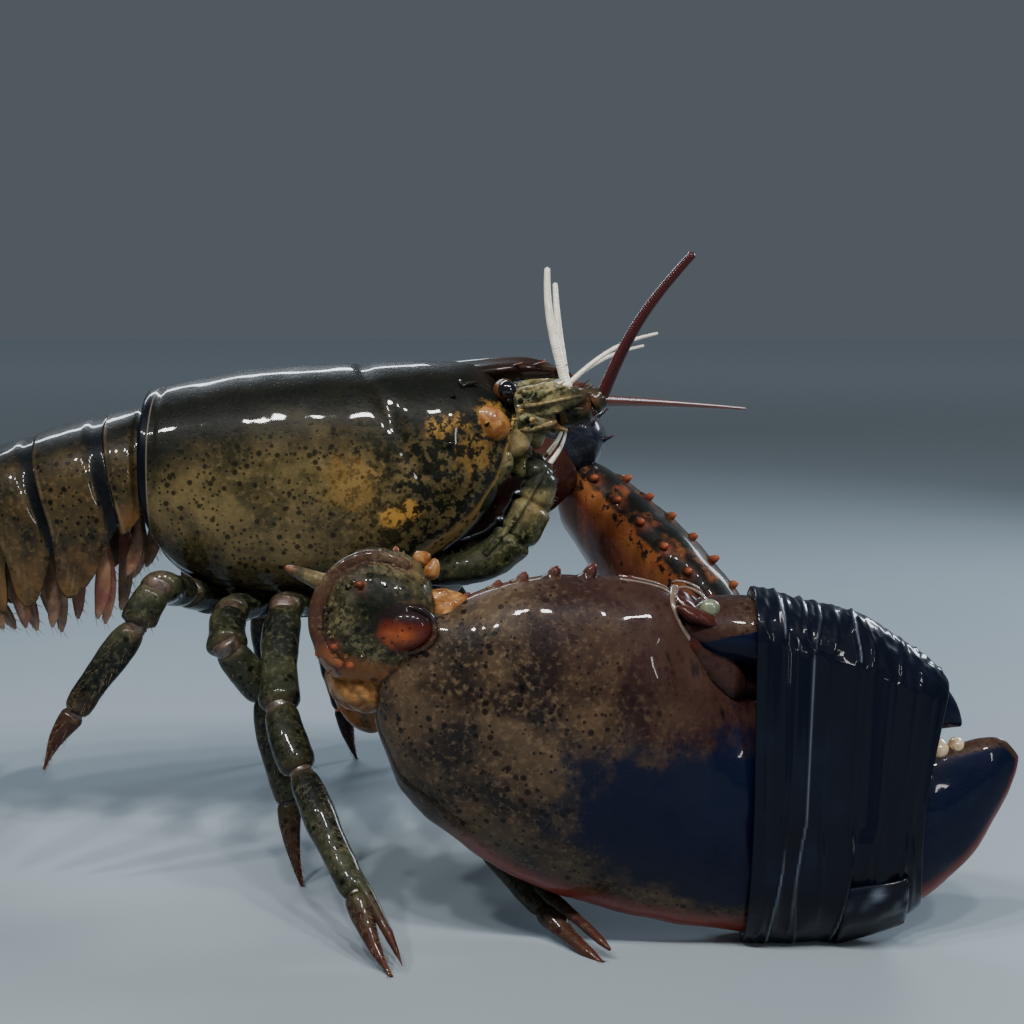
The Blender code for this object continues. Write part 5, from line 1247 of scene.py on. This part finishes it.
wrist = bmesh.new()
on_wrist = wrist_block(wrist, Vector((30.5, 102.0, 181.0)), (17.7, 19.2, 19.2), -0.4, (84, 60))
weather(wrist, 2.0, 0.5)
spines = []
for root, tip, radius in (((33, 96, 194), (37, 92, 205), 2.6), ((41, 108, 190), (51, 110, 197), 2.6),
                          ((27, 88, 185), (27, 78, 193), 2.4), ((38, 90, 186), (43, 84, 193), 2.2),
                          ((44, 96, 180), (53, 93, 184), 2.2), ((20, 98, 195), (16, 95, 204), 2.2)):
    thorn(wrist, root, tip, radius, 12)
    spines.append(Vector(tip))
settle(wrist, "wrist_left", arm_finish, ["carpus_left"], traits={
    "far": lambda p: 1.0, "tips": close_to(spines, 3.2)})


# Walking legs: four pairs of thin-walled hollow legs of five rings each, hinged crosswise by turns with
# dark skin at each joint. The first two pairs end in small pincers, and all carry tufts of stiff hair.
leg_finish, tint = shell("leg_shell", (0.006, 0.008, 0.0065), (0.034, 0.038, 0.020), (0.11, 0.10, 0.055),
                         0.5, 0.9)
paint = leg_finish
tint = paint.layers(tint, [
    (paint.trait("joint") * (0.3 + 0.5 * paint.cloud(120.0)), (0.10, 0.068, 0.036)),
    (paint.trait("toe") * (0.45 + 0.55 * paint.cloud(160.0, 4.0)), (0.085, 0.016, 0.012)),
])
paint.feed(Base_Color=tint)
leg_skin = Finish("leg_skin", Roughness=0.4, Coat_Weight=0.6, Coat_Roughness=0.08)
puckers = leg_skin.cloud(260.0, 4.0)
leg_skin.feed(Base_Color=leg_skin.blend(puckers.step(0.35, 0.65), (0.040, 0.028, 0.022),
                                        (0.115, 0.074, 0.052)), Normal=leg_skin.relief(puckers, 0.6, 0.6))
# radii at a leg's joints, and how each of its rings swells from end to end
LEG_RADII = (9.0, 8.5, 8.8, 7.0, 5.8, 3.6)
LEG_SWELL = ([(0.0, 0.80), (0.12, 1.0), (0.8, 1.02), (0.93, 1.0), (1.0, 0.72)],
             [(0.0, 0.66), (0.05, 0.84), (0.16, 1.0), (0.55, 0.95), (0.84, 1.04), (0.94, 1.03), (0.965, 0.95),
              (1.0, 0.72)],
             [(0.0, 0.62), (0.08, 0.82), (0.35, 0.98), (0.8, 1.12), (0.93, 1.08), (0.96, 0.96), (1.0, 0.7)],
             [(0.0, 0.62), (0.06, 0.86), (0.25, 1.05), (0.8, 1.04), (0.95, 1.0), (1.0, 0.85)],
             [(0.0, 0.78), (0.08, 0.98), (0.4, 0.86), (0.75, 0.56), (0.93, 0.36), (1.0, 0.28)])
# each leg's joints from hip to toe: forward, out to its side, and up
LEGS = {
    -1.0: (("leg_1", ((-72, 16, 119), (-68, 32, 98), (-36, 70, 66), (-22, 84, 44), (13, 120, 11),
                      (36, 150, -0.8))),
           ("leg_2", ((-94, 16, 119), (-102, 38, 119), (-99, 78, 84), (-88, 98, 62), (-62, 138, 24),
                      (-46, 164, -0.8))),
           ("leg_3", ((-117, 16, 119), (-126, 38, 117), (-124, 60, 106), (-109, 51, 83), (-99, 57, 36),
                      (-92, 66, -0.8))),
           ("leg_4", ((-139, 16, 121), (-146, 36, 126), (-152, 66, 134), (-160, 72, 118), (-186, 78, 82),
                      (-200, 80, 57)))),
    1.0: (("leg_1", ((-72, 16, 119), (-62, 42, 117), (-38, 92, 112), (-26, 104, 88), (-10, 120, 32),
                     (0, 130, -0.8))),
          ("leg_2", ((-94, 16, 119), (-90, 42, 118), (-76, 94, 112), (-66, 106, 88), (-50, 122, 32),
                     (-42, 132, -0.8))),
          ("leg_3", ((-117, 16, 119), (-116, 42, 118), (-108, 94, 112), (-102, 107, 88), (-92, 124, 32),
                     (-86, 134, -0.8))),
          ("leg_4", ((-139, 16, 121), (-141, 42, 119), (-136, 92, 112), (-134, 106, 88), (-128, 124, 32),
                     (-124, 134, -0.8)))),
}
LEG_FORWARD = Vector((1.0, 0.0, 0.15))
skins = bmesh.new()
tufts = bmesh.new()
for side, word in SIDES:
    for name, places in LEGS[side]:
        joints = [Vector((x, side * y, z)) for x, y, z in places]
        leg = bmesh.new()
        for k in range(5):
            a, b = joints[k], joints[k + 1]
            along = (b - a).normalized()
            across = along.cross(LEG_FORWARD).normalized()
            bend = along.cross(across)
            start = a + along * (1.2 if k else 0.0)
            stations = []
            for t in spread(0.0, 1.0, 1.6 / (b - start).length):
                last = LEG_RADII[k + 1] if k < 4 else 2.6
                radius = (LEG_RADII[k] + (last - LEG_RADII[k]) * t) * curve(LEG_SWELL[k], t) * 0.98
                bow = bend * (1.4 * math.sin(math.pi * t) * (1.0 if k == 4 else 0.5))
                stations.append((start.lerp(b, t) + bow, radius * 0.82, radius))
                if k >= 2 and 0.15 < t < 0.97:
                    for _ in range(3 if k == 2 else 5):
                        turn = random.choice((0.4, 2.7, 3.8, 5.6)) + random.uniform(-0.3, 0.3)
                        out = across * math.cos(turn) * 0.82 + bend * math.sin(turn)
                        root = start.lerp(b, t) + bow + out * radius * 0.92
                        bristle(tufts, root, root + out * random.uniform(1.2, 2.6)
                                + along * random.uniform(1.5, 3.2), 0.13)
            tube(leg, stations, 30, 0.8, 0.4, LEG_FORWARD)
            if k:
                fold = [(a.lerp(a + along, s), r * 0.70 * LEG_RADII[k] * 0.84, r * 0.70 * LEG_RADII[k])
                        for s, r in ((-3.4, 0.75), (-2.4, 1.0), (-1.4, 0.93), (-0.4, 1.02), (0.6, 0.93),
                                     (1.6, 1.0), (2.6, 0.8))]
                tube(skins, fold, 30, 0.5, 0.5, LEG_FORWARD)
        if name in ("leg_1", "leg_2"):
            hand, tip = joints[4], joints[5]
            aim = (tip - joints[3]).normalized()
            aside = aim.cross(Vector((0.0, 1.0, 0.0))).normalized()
            aside = -aside if aside.z < 0.0 else aside
            stations = [(hand.lerp(joints[3], 0.25 * (1.0 - t)).lerp(tip + aside * 4.3 - aim * 2.0,
                                                                     max(0.0, t))
                         + aside * (1.5 + 1.6 * math.sin(math.pi * t)),
                         3.3 * curve([(0.0, 1.0), (0.4, 0.75), (0.8, 0.42), (1.0, 0.14)], t),
                         3.3 * curve([(0.0, 1.0), (0.4, 0.8), (0.8, 0.45), (1.0, 0.14)], t))
                        for t in spread(0.0, 1.0, 0.05)]
            tube(leg, stations, 20, 0.3, 0.3, LEG_FORWARD)
        lobe(leg, joints[0] + Vector((0.0, side * 1.5, -0.5)), (9.6, 7.0, 8.0), fine=4)
        weather(leg, 0.7, 0.22)
        for v in leg.verts:
            v.co.z = max(v.co.z, 0.02)
        settle(leg, f"walking_{name}_{word}", leg_finish,
               [f"{name}_{word}_upper", f"{name}_{word}_lower"], traits={
            "joint": lambda p: max(bell((p - q).length - 4.0, 2.6) for q in joints[1:4]),
            "toe": lambda p: clipped(1.0 - (p - joints[5]).length / 42.0)})
weather(skins, 0.5, 0.35)
settle(skins, "leg_joint_skins", leg_skin, [])
for v in tufts.verts:
    v.co.z = max(v.co.z, 0.05)
settle(tufts, "leg_setae", hair_finish, [])


# Breastplate: the hard floor between the legs, a narrow keeled plate with a ridge between each pair of
# legs, pale ochre, grown as one with the sides of the thorax.
belly_finish, tint = shell("belly_shell", (0.070, 0.045, 0.024), (0.26, 0.16, 0.075), (0.34, 0.22, 0.11), 0.3)
belly_finish.feed(Base_Color=tint)
plate_mesh = bmesh.new()
# forward, half width, lowest height
STERNUM = ((-152.0, 15.0, 121.0), (-140.0, 20.0, 116.0), (-110.0, 20.0, 114.0), (-80.0, 18.0, 114.0),
           (-55.0, 16.0, 116.0), (-36.0, 12.0, 126.0))
rings = []
for x in spread(-152.0, -36.0, 1.5):
    half, low = curve(column(STERNUM, 1), x), curve(column(STERNUM, 2), x)
    rib = 0.9 * math.cos(2.0 * math.pi * (x + 83.0) / 22.5)
    rings.append([Vector((x, side, 130.0 + height + (rib if height < 0.0 else 0.0)))
                  for side, height in (rounded(a, half, 14.0, 130.0 - low - 0.9, 2.6) for a in turns(48, 0.5))])
skin(plate_mesh, rings)
weather(plate_mesh, 0.4, 0.15)
settle(plate_mesh, "breastplate", belly_finish, ["sternum"])


# Face: the plates and lobes round the mouth below the eyes, small and much folded, cream, yellow-green
# and black in patches, with hair between, an orange lobe on each cheek, and the antennae's ringed roots.
face_finish, tint = shell("face_shell", (0.012, 0.017, 0.010), (0.105, 0.100, 0.040), (0.26, 0.24, 0.12), 0.6)
paint = face_finish
cream_patch = paint.cloud(95.0, 4.0, 0.6).step(0.50, 0.60) * paint.trait("pale")
tint = paint.layers(tint, [
    (cream_patch * 0.6, (0.30, 0.28, 0.14)),
    (paint.cells(150.0, "DISTANCE_TO_EDGE").step(0.04, 0.01) * paint.trait("pale") * 0.3, (0.40, 0.38, 0.26)),
    (paint.trait("lobe") * (0.55 + 0.45 * paint.cloud(170.0)), (0.34, 0.25, 0.11)),
    (paint.trait("dark") * 0.9, (0.012, 0.016, 0.013)),
    (paint.trait("pink") * 0.85, (0.085, 0.026, 0.024)),
    (paint.trait("russet") * (0.4 + 0.6 * paint.cloud(190.0, 4.0)), (0.105, 0.038, 0.016)),
])
paint.feed(Base_Color=tint)
face = bmesh.new()
# forward, lowest height, highest height, half width
FACE = ((-38.0, 146.0, 190.0, 24.0), (-22.0, 152.0, 205.0, 25.0), (-8.0, 166.0, 213.0, 23.0),
        (2.0, 178.0, 214.0, 19.0), (9.0, 186.0, 211.0, 14.0))
rings = []
for x in spread(-38.0, 9.0, 0.9):
    low, high, half = (curve(column(FACE, k), x) for k in (1, 2, 3))
    reach = 0.5 * (high - low)
    rings.append(hoop(x, 0.5 * (low + high), half, reach, reach, 2.4, 90))
skin(face, rings, 0.0, 2.0)
lobe_pairs(face, (((3.0, 21.0, 193.0), (6.0, 3.6, 8.5), 0.2), ((10.5, 13.0, 194.0), (4.5, 4.5, 7.0), -0.2),
                  ((9.0, 17.0, 201.0), (5.0, 4.0, 4.0), 0.0), ((-6.0, 24.0, 180.0), (5.5, 3.0, 9.0), 0.5),
                  ((-13.0, 25.0, 168.0), (5.0, 3.0, 8.0), 0.6), ((4.0, 11.0, 180.0), (6.0, 6.0, 7.0), 0.3),
                  ((7.0, 6.0, 205.0), (6.5, 5.0, 5.0), 0.0)), 4)
weather(face, 1.0, 0.55)
settle(face, "mouth_plates", face_finish, ["mouthparts"], traits={
    "pale": lambda p: clipped((p.z - 182.0) / 10.0),
    "lobe": close_to([Vector((3.0, side * 24.0, 193.0)) for side in (-1.0, 1.0)], 7.5),
    "dark": lambda p: clipped((178.0 - p.z) / 8.0)})

feeler_red = Finish("antenna_skin", Roughness=0.32, Coat_Weight=0.5, Coat_Roughness=0.10,
                    Coat_IOR=1.25, Specular_IOR_Level=0.25)
bands = feeler_red.trait("ring")
near_red = feeler_red.blend(bands, (0.048, 0.0075, 0.0080), (0.022, 0.0035, 0.0045))
far_red = feeler_red.blend(bands, (0.13, 0.038, 0.026), (0.085, 0.022, 0.018))
feeler_red.feed(Base_Color=feeler_red.blend(feeler_red.trait("far"), near_red, far_red))
feeler_pale = Finish("antennule_skin", Roughness=0.35, Coat_Weight=0.6, Coat_Roughness=0.06)
feeler_pale.feed(Base_Color=feeler_pale.blend(feeler_pale.trait("ring"), (0.78, 0.74, 0.62),
                                              (0.52, 0.45, 0.33)))
# each antenna's tip, its radii at root and tip, and its bow; below, the two branches of each antennule
LASHES = {-1.0: (Vector((78.0, -40.0, 275.0)), 3.3, 2.0, Vector((-3.4, 0.0, 2.0))),
          1.0: (Vector((120.0, 93.0, 197.5)), 3.1, 0.9, Vector((0.0, 0.0, 0.5)))}
FORKS = {-1.0: ((Vector((16.0, -3.0, 269.0)), 2.5, Vector((-3.0, 0.0, 3.0))),
                (Vector((67.0, 4.0, 239.5)), 1.3, Vector((0.0, 0.0, 4.5)))),
         1.0: ((Vector((20.0, 13.0, 262.0)), 2.2, Vector((-1.0, 0.0, 3.0))),
               (Vector((62.0, 22.0, 233.0)), 1.2, Vector((0.0, 0.0, 3.0))))}


def lash(bm, start, end, first, last, swell, pitch, sides, fade):
    """A whip of many short rings, each a little wider at its far end."""
    count = max(8, round((end - start).length / pitch))
    stations = []
    for k in range(count):
        for within, share in ((0.02, 0.965), (0.6, 1.0), (0.94, 1.015)):
            t = (k + within) / count
            radius = (first + (last - first) * t ** fade) * share
            stations.append((start.lerp(end, t) + swell * math.sin(math.pi * t), radius, radius))
    tube(bm, stations, sides, 0.0, last * 0.7, Vector((0.0, 1.0, 0.2)))


def ring_wear(start, end, pitch):
    """The trait of a whip's rings: one at each joint, nought between."""
    way = (end - start).normalized()
    return lambda p: max(0.0, math.cos(2.0 * math.pi * (p - start).dot(way) / pitch)) ** 3


face_hair = bmesh.new()
for side, word in SIDES:
    droop = 0.0 if side < 0.0 else 4.5
    root, knee = Vector((3.0, side * 17.0, 203.5)), Vector((20.0, side * 19.0, 205.5))
    wrist, hand = Vector((35.0, side * 17.5, 208.5 - 0.6 * droop)), Vector((40.5, side * 16.0, 212.0 - droop))
    base = bmesh.new()
    for a, b, swell in ((root, knee, [(0.0, 9.2), (0.4, 9.9), (0.85, 9.6), (0.95, 9.8), (1.0, 8.4)]),
                        (knee.lerp(wrist, 0.02), wrist,
                         [(0.0, 7.4), (0.2, 8.2), (0.7, 7.9), (0.9, 8.0), (1.0, 6.6)]),
                        (wrist.lerp(hand, 0.04), hand,
                         [(0.0, 5.6), (0.3, 6.4), (0.8, 5.6), (0.95, 5.2), (1.0, 4.2)])):
        tube(base, [(a.lerp(b, t), curve(swell, t) * 0.97, curve(swell, t))
                    for t in spread(0.0, 1.0, 0.05)], 40, 0.0, 0.6, UPRIGHT)
    # the scale beside each root: forward, out, up, half width, half height
    blade = ((2.0, 22.0, 209.0, 2.0, 4.8), (14.0, 28.2, 211.0, 1.8, 7.2), (26.0, 28.8, 212.5, 1.2, 4.8),
             (35.0, 26.2, 213.5, 0.4, 0.7))
    scale = []
    for x in spread(2.0, 35.0, 1.2):
        out, z, wide, high = (curve(column(blade, k), x) for k in (1, 2, 3, 4))
        scale.append((Vector((x, side * out, z)), wide, high))
        for _ in range(4):
            edge = Vector((x, side * (out - 1.2), z - high * random.uniform(0.8, 0.95)))
            bristle(face_hair, edge, edge + Vector((random.uniform(0.6, 2.2), -side * 0.8,
                                                    -random.uniform(0.8, 1.7))), 0.08)
    tube(base, scale, 32, 0.4, 0.3, UPRIGHT)
    base_tips = []
    for at, tip in (((14.0, 26.5, 205.0), (21.0, 31.0, 206.5)), ((18.0, 14.0, 214.0), (24.0, 13.0, 218.5)),
                    ((31.0, 22.0, 212.0), (38.0, 24.0, 215.0)), ((20.0, 24.0, 198.5), (25.0, 28.0, 197.5)),
                    ((6.0, 25.0, 214.0), (12.0, 27.5, 217.0)), ((12.0, 29.0, 213.0), (17.5, 31.5, 216.0)),
                    ((18.0, 29.0, 215.5), (24.0, 30.5, 217.5)), ((5.0, 26.0, 203.0), (10.0, 30.0, 203.5)),
                    ((26.0, 26.0, 207.0), (31.5, 29.0, 207.5)), ((33.0, 18.0, 214.5), (37.0, 17.0, 218.0))):
        thorn(base, (at[0], side * at[1], at[2]), (tip[0], side * tip[1], tip[2]), 1.3, 10)
        base_tips.append(Vector((tip[0], side * tip[1], tip[2])))
    for path, radius in ((((4.0, 27.0, 208.0), (12.0, 30.6, 209.5), (22.0, 30.8, 211.5),
                           (31.0, 28.2, 213.0)), 0.75),
                         (((4.0, 23.5, 197.5), (11.0, 26.8, 198.5), (20.0, 26.6, 201.5)), 1.1),
                         (((3.0, 24.0, 214.5), (11.0, 27.5, 217.3), (20.0, 28.6, 218.0)), 0.6)):
        ridge = [(spot, radius, radius * (1.0 + 0.35 * math.sin(9.0 * t)))
                 for spot, t in course([(x, side * y, z) for x, y, z in path], 0.8)]
        tube(base, ridge, 12, 0.4, 0.4, UPRIGHT)
        base_tips += [spot for spot, _, _ in ridge[::4]]
    weather(base, 0.9, 0.45)
    brown_patch = close_to([Vector((20.0, side * 26.5, 201.0)), Vector((34.0, side * 23.0, 210.0))], 5.0)
    settle(base, f"antenna_root_{word}", face_finish, [f"antenna_base_{word}"], traits={
        "pale": lambda p: clipped((24.0 - p.x) / 6.0), "lobe": close_to(base_tips, 1.6), "russet": brown_patch,
        "dark": lambda p: 0.85 * clipped((p.x - 23.0) / 6.0) if side < 0.0 else 0.0,
        "pink": lambda p: clipped((p.x - 21.0) / 5.0) if side > 0.0 else 0.0})
    end, first, last, swell = LASHES[side]
    start = hand + (end - hand).normalized() * 0.6
    whip = bmesh.new()
    lash(whip, start, end, first * 0.94, last * 0.94, swell, 1.2, 26, 0.8)
    settle(whip, f"antenna_whip_{word}", feeler_red, [f"antenna_{word}"], traits={
        "ring": ring_wear(start, end, 1.2), "far": lambda p: max(0.0, side)})
    stem_from, stem_to = Vector((7.0, side * 5.5, 211.5)), Vector((27.0, side * 5.5, 216.5))
    stem = bmesh.new()
    tube(stem, [(stem_from.lerp(stem_to, t),
                 3.4 * curve([(0.0, 0.9), (0.28, 1.03), (0.33, 0.86), (0.4, 1.0), (0.62, 1.0), (0.67, 0.84),
                              (0.74, 0.96), (1.0, 0.8)], t), 3.0) for t in spread(0.0, 1.0, 0.03)], 28,
         0.0, 0.6, UPRIGHT)
    for tip, radius, bow in FORKS[side]:
        lash(stem, stem_to - Vector((2.0, 0.0, 0.4)), tip, radius, radius * 0.55, bow, 1.1, 14, 1.0)
    settle(stem, f"antennule_pair_{word}", feeler_pale, [f"antennule_{word}"],
           traits={"ring": ring_wear(stem_to, FORKS[side][0][0], 1.1)})

cheeks = bmesh.new()
lobe_pairs(cheeks, (((-10.0, 27.6, 200.5), (9.6, 5.2, 7.6), 0.5),))
weather(cheeks, 1.2, 0.3)
settle(cheeks, "cheek_lobes", membrane_finish, [])


# Outer mouth limbs: the large jointed feet of the mouth, folded up in front of it, with a toothed inner
# edge, a brush of hair, and a thin pale whip on the outer side.

# forward, out, up, radius
MAXILLIPED = ((-46.0, 17.0, 131.0, 7.0), (-34.0, 17.5, 132.0, 8.5), (-18.0, 18.0, 134.5, 9.0),
              (-5.0, 17.5, 140.0, 9.5), (4.0, 16.5, 149.0, 10.0), (10.0, 15.5, 160.0, 9.5),
              (14.0, 14.0, 170.0, 7.5), (12.0, 13.0, 178.0, 6.0), (5.0, 11.5, 183.0, 3.0))
for side, word in SIDES:
    limb = bmesh.new()
    outward = Vector((0.0, side, 0.0))
    path = course([(x, side * y, z) for x, y, z, _ in MAXILLIPED], 0.9)
    lengths = lengths_along([row[:3] for row in MAXILLIPED])
    widths = [(reach / lengths[-1], m[3]) for reach, m in zip(lengths, MAXILLIPED)]
    joints = (0.56, 0.74, 0.88)
    stations = []
    for at, t in path:
        pinch = (1.0 - 0.20 * max(bell(t - j, 0.013) for j in joints) + 0.07 * max(bell(t - j + 0.035, 0.02)
                for j in joints))
        radius = curve(widths, t) * pinch * 0.97
        stations.append((at - Vector((1.2, 0.0, 0.0)), radius * (0.72 + 0.24 * min(1.0, t * 3.0)), radius))
    tube(limb, stations, 44, 1.0, 1.0, outward)
    weather(limb, 0.7, 0.35)
    for k, (at, t) in enumerate(path):
        ahead = (path[min(k + 1, len(path) - 1)][0] - path[max(k - 1, 0)][0]).normalized()
        inner = outward.cross(ahead) * -side
        if t > 0.5:
            for _ in range(7):
                out = (inner * random.choice((-1.0, 0.3))
                       + Vector((0.0, -side * random.uniform(0.6, 1.4), 0.0))).normalized()
                root = at + out * curve(widths, t) * 0.88
                bristle(face_hair, root, root + out * random.uniform(1.5, 3.6)
                        + ahead * random.uniform(-0.5, 2.0), 0.12)
        elif k % 5 == 2 and t > 0.12:
            root = at + inner * curve(widths, t) * 0.9
            thorn(limb, root, root + inner * 1.2, 0.6, 8)
    palp = [(at, 1.7 - 1.2 * t, 2.0 - 1.4 * t)
            for at, t in course([(-12.0, side * 25.0, 141.0), (2.0, side * 25.0, 158.0),
                                 (12.0, side * 22.5, 174.0), (17.0, side * 21.0, 182.0)], 1.0)]
    tube(limb, palp, 14, 0.5, 0.5, outward)
    palp_points = [at for at, _, _ in palp]
    strip = bmesh.new()
    lash(strip, palp_points[-1], Vector((24.5, side * 19.5, 198.0)), 1.25, 0.5,
         Vector((1.6, -side * 0.8, 0.0)), 1.1, 14, 1.0)
    settle(strip, f"mouth_whip_{word}", feeler_pale, [],
           traits={"ring": ring_wear(palp_points[-1], Vector((24.5, side * 19.5, 198.0)), 1.1)})
    middle, top = Vector((12.0, side * 15.0, 165.0)), Vector((10.0, side * 12.5, 180.0))
    settle(limb, f"mouth_foot_{word}", face_finish, [f"maxilliped_{word}"], traits={
        "pale": lambda p: max(0.9 * bell((p - top).length, 11.0), close_to(palp_points[8::3], 2.4)(p)),
        "lobe": lambda p: 0.75 * bell((p - middle - Vector((-2.0, side * 4.0, -3.0))).length, 7.0),
        "dark": lambda p: max(0.75 * clipped((-2.0 - p.x) / 10.0),
                              0.9 * bell((p - Vector((12.0, side * 20.0, 163.0))).length, 2.6),
                              0.92 * clipped((p.z - 167.5) / 4.0))})
settle(face_hair, "face_setae", hair_finish, [])


# Eyes: glossy black balls of packed facets under a clear skin, each on a short movable stalk that an
# orange-brown collar joins to it, sheltered by the horn between them.
eye_finish = Finish("eye_black", Roughness=0.12, Coat_Weight=1.0, Coat_Roughness=0.02, IOR=1.5)
facets = eye_finish.cells(3800.0)
eye_finish.feed(Base_Color=eye_finish.blend(eye_finish.trait("edge"), (0.004, 0.004, 0.005),
                                            (0.045, 0.022, 0.010)),
                Normal=eye_finish.relief(facets, 0.03, 0.25))
stalk_finish = Finish("stalk_skin", Roughness=0.32, Coat_Weight=0.8, Coat_Roughness=0.06,
                      Coat_IOR=1.25, Specular_IOR_Level=0.1)
stalk_mottle = stalk_finish.cloud(230.0, 4.0)
stalk_tint = stalk_finish.blend(stalk_mottle.step(0.4, 0.65), (0.020, 0.018, 0.010), (0.13, 0.085, 0.035))
stalk_finish.feed(Base_Color=stalk_finish.blend(stalk_finish.trait("collar"), stalk_tint,
                                                (0.075, 0.033, 0.012)),
                  Normal=stalk_finish.relief(stalk_mottle, 0.3, 0.4))
for side, word in SIDES:
    eye_at, stalk_from = Vector((-2.2, side * 20.0, 215.0)), Vector((-7.0, side * 8.0, 213.0))
    out = (eye_at - stalk_from).normalized()
    length = (eye_at - stalk_from).length
    width = [(0.0, 3.9), (0.3, 4.5), (0.6, 5.0), (0.78, 5.5), (0.88, 5.3), (0.93, 4.9), (0.96, 5.05),
             (1.0, 4.5)]
    stalk = bmesh.new()
    tube(stalk, [(stalk_from.lerp(eye_at - out * 0.4, t), curve(width, t), curve(width, t))
                 for t in spread(0.0, 1.0, 0.04)], 40, 0.0, 0.0, UPRIGHT)
    weather(stalk, 0.2, 0.15)
    settle(stalk, f"eye_stalk_{word}", stalk_finish, [f"eyestalk_{word}"], traits={
        "collar": lambda p: clipped(((p - stalk_from).dot(out) / length - 0.72) / 0.1)})
    ball = bmesh.new()
    bmesh.ops.create_icosphere(ball, subdivisions=5, radius=4.45, matrix=Matrix.Translation(eye_at + out * 0.8))
    settle(ball, f"eye_ball_{word}", eye_finish, [f"eye_{word}"], traits={
        "edge": lambda p: clipped(1.0 - ((p - eye_at).dot(out) - 0.2) / 1.2)})
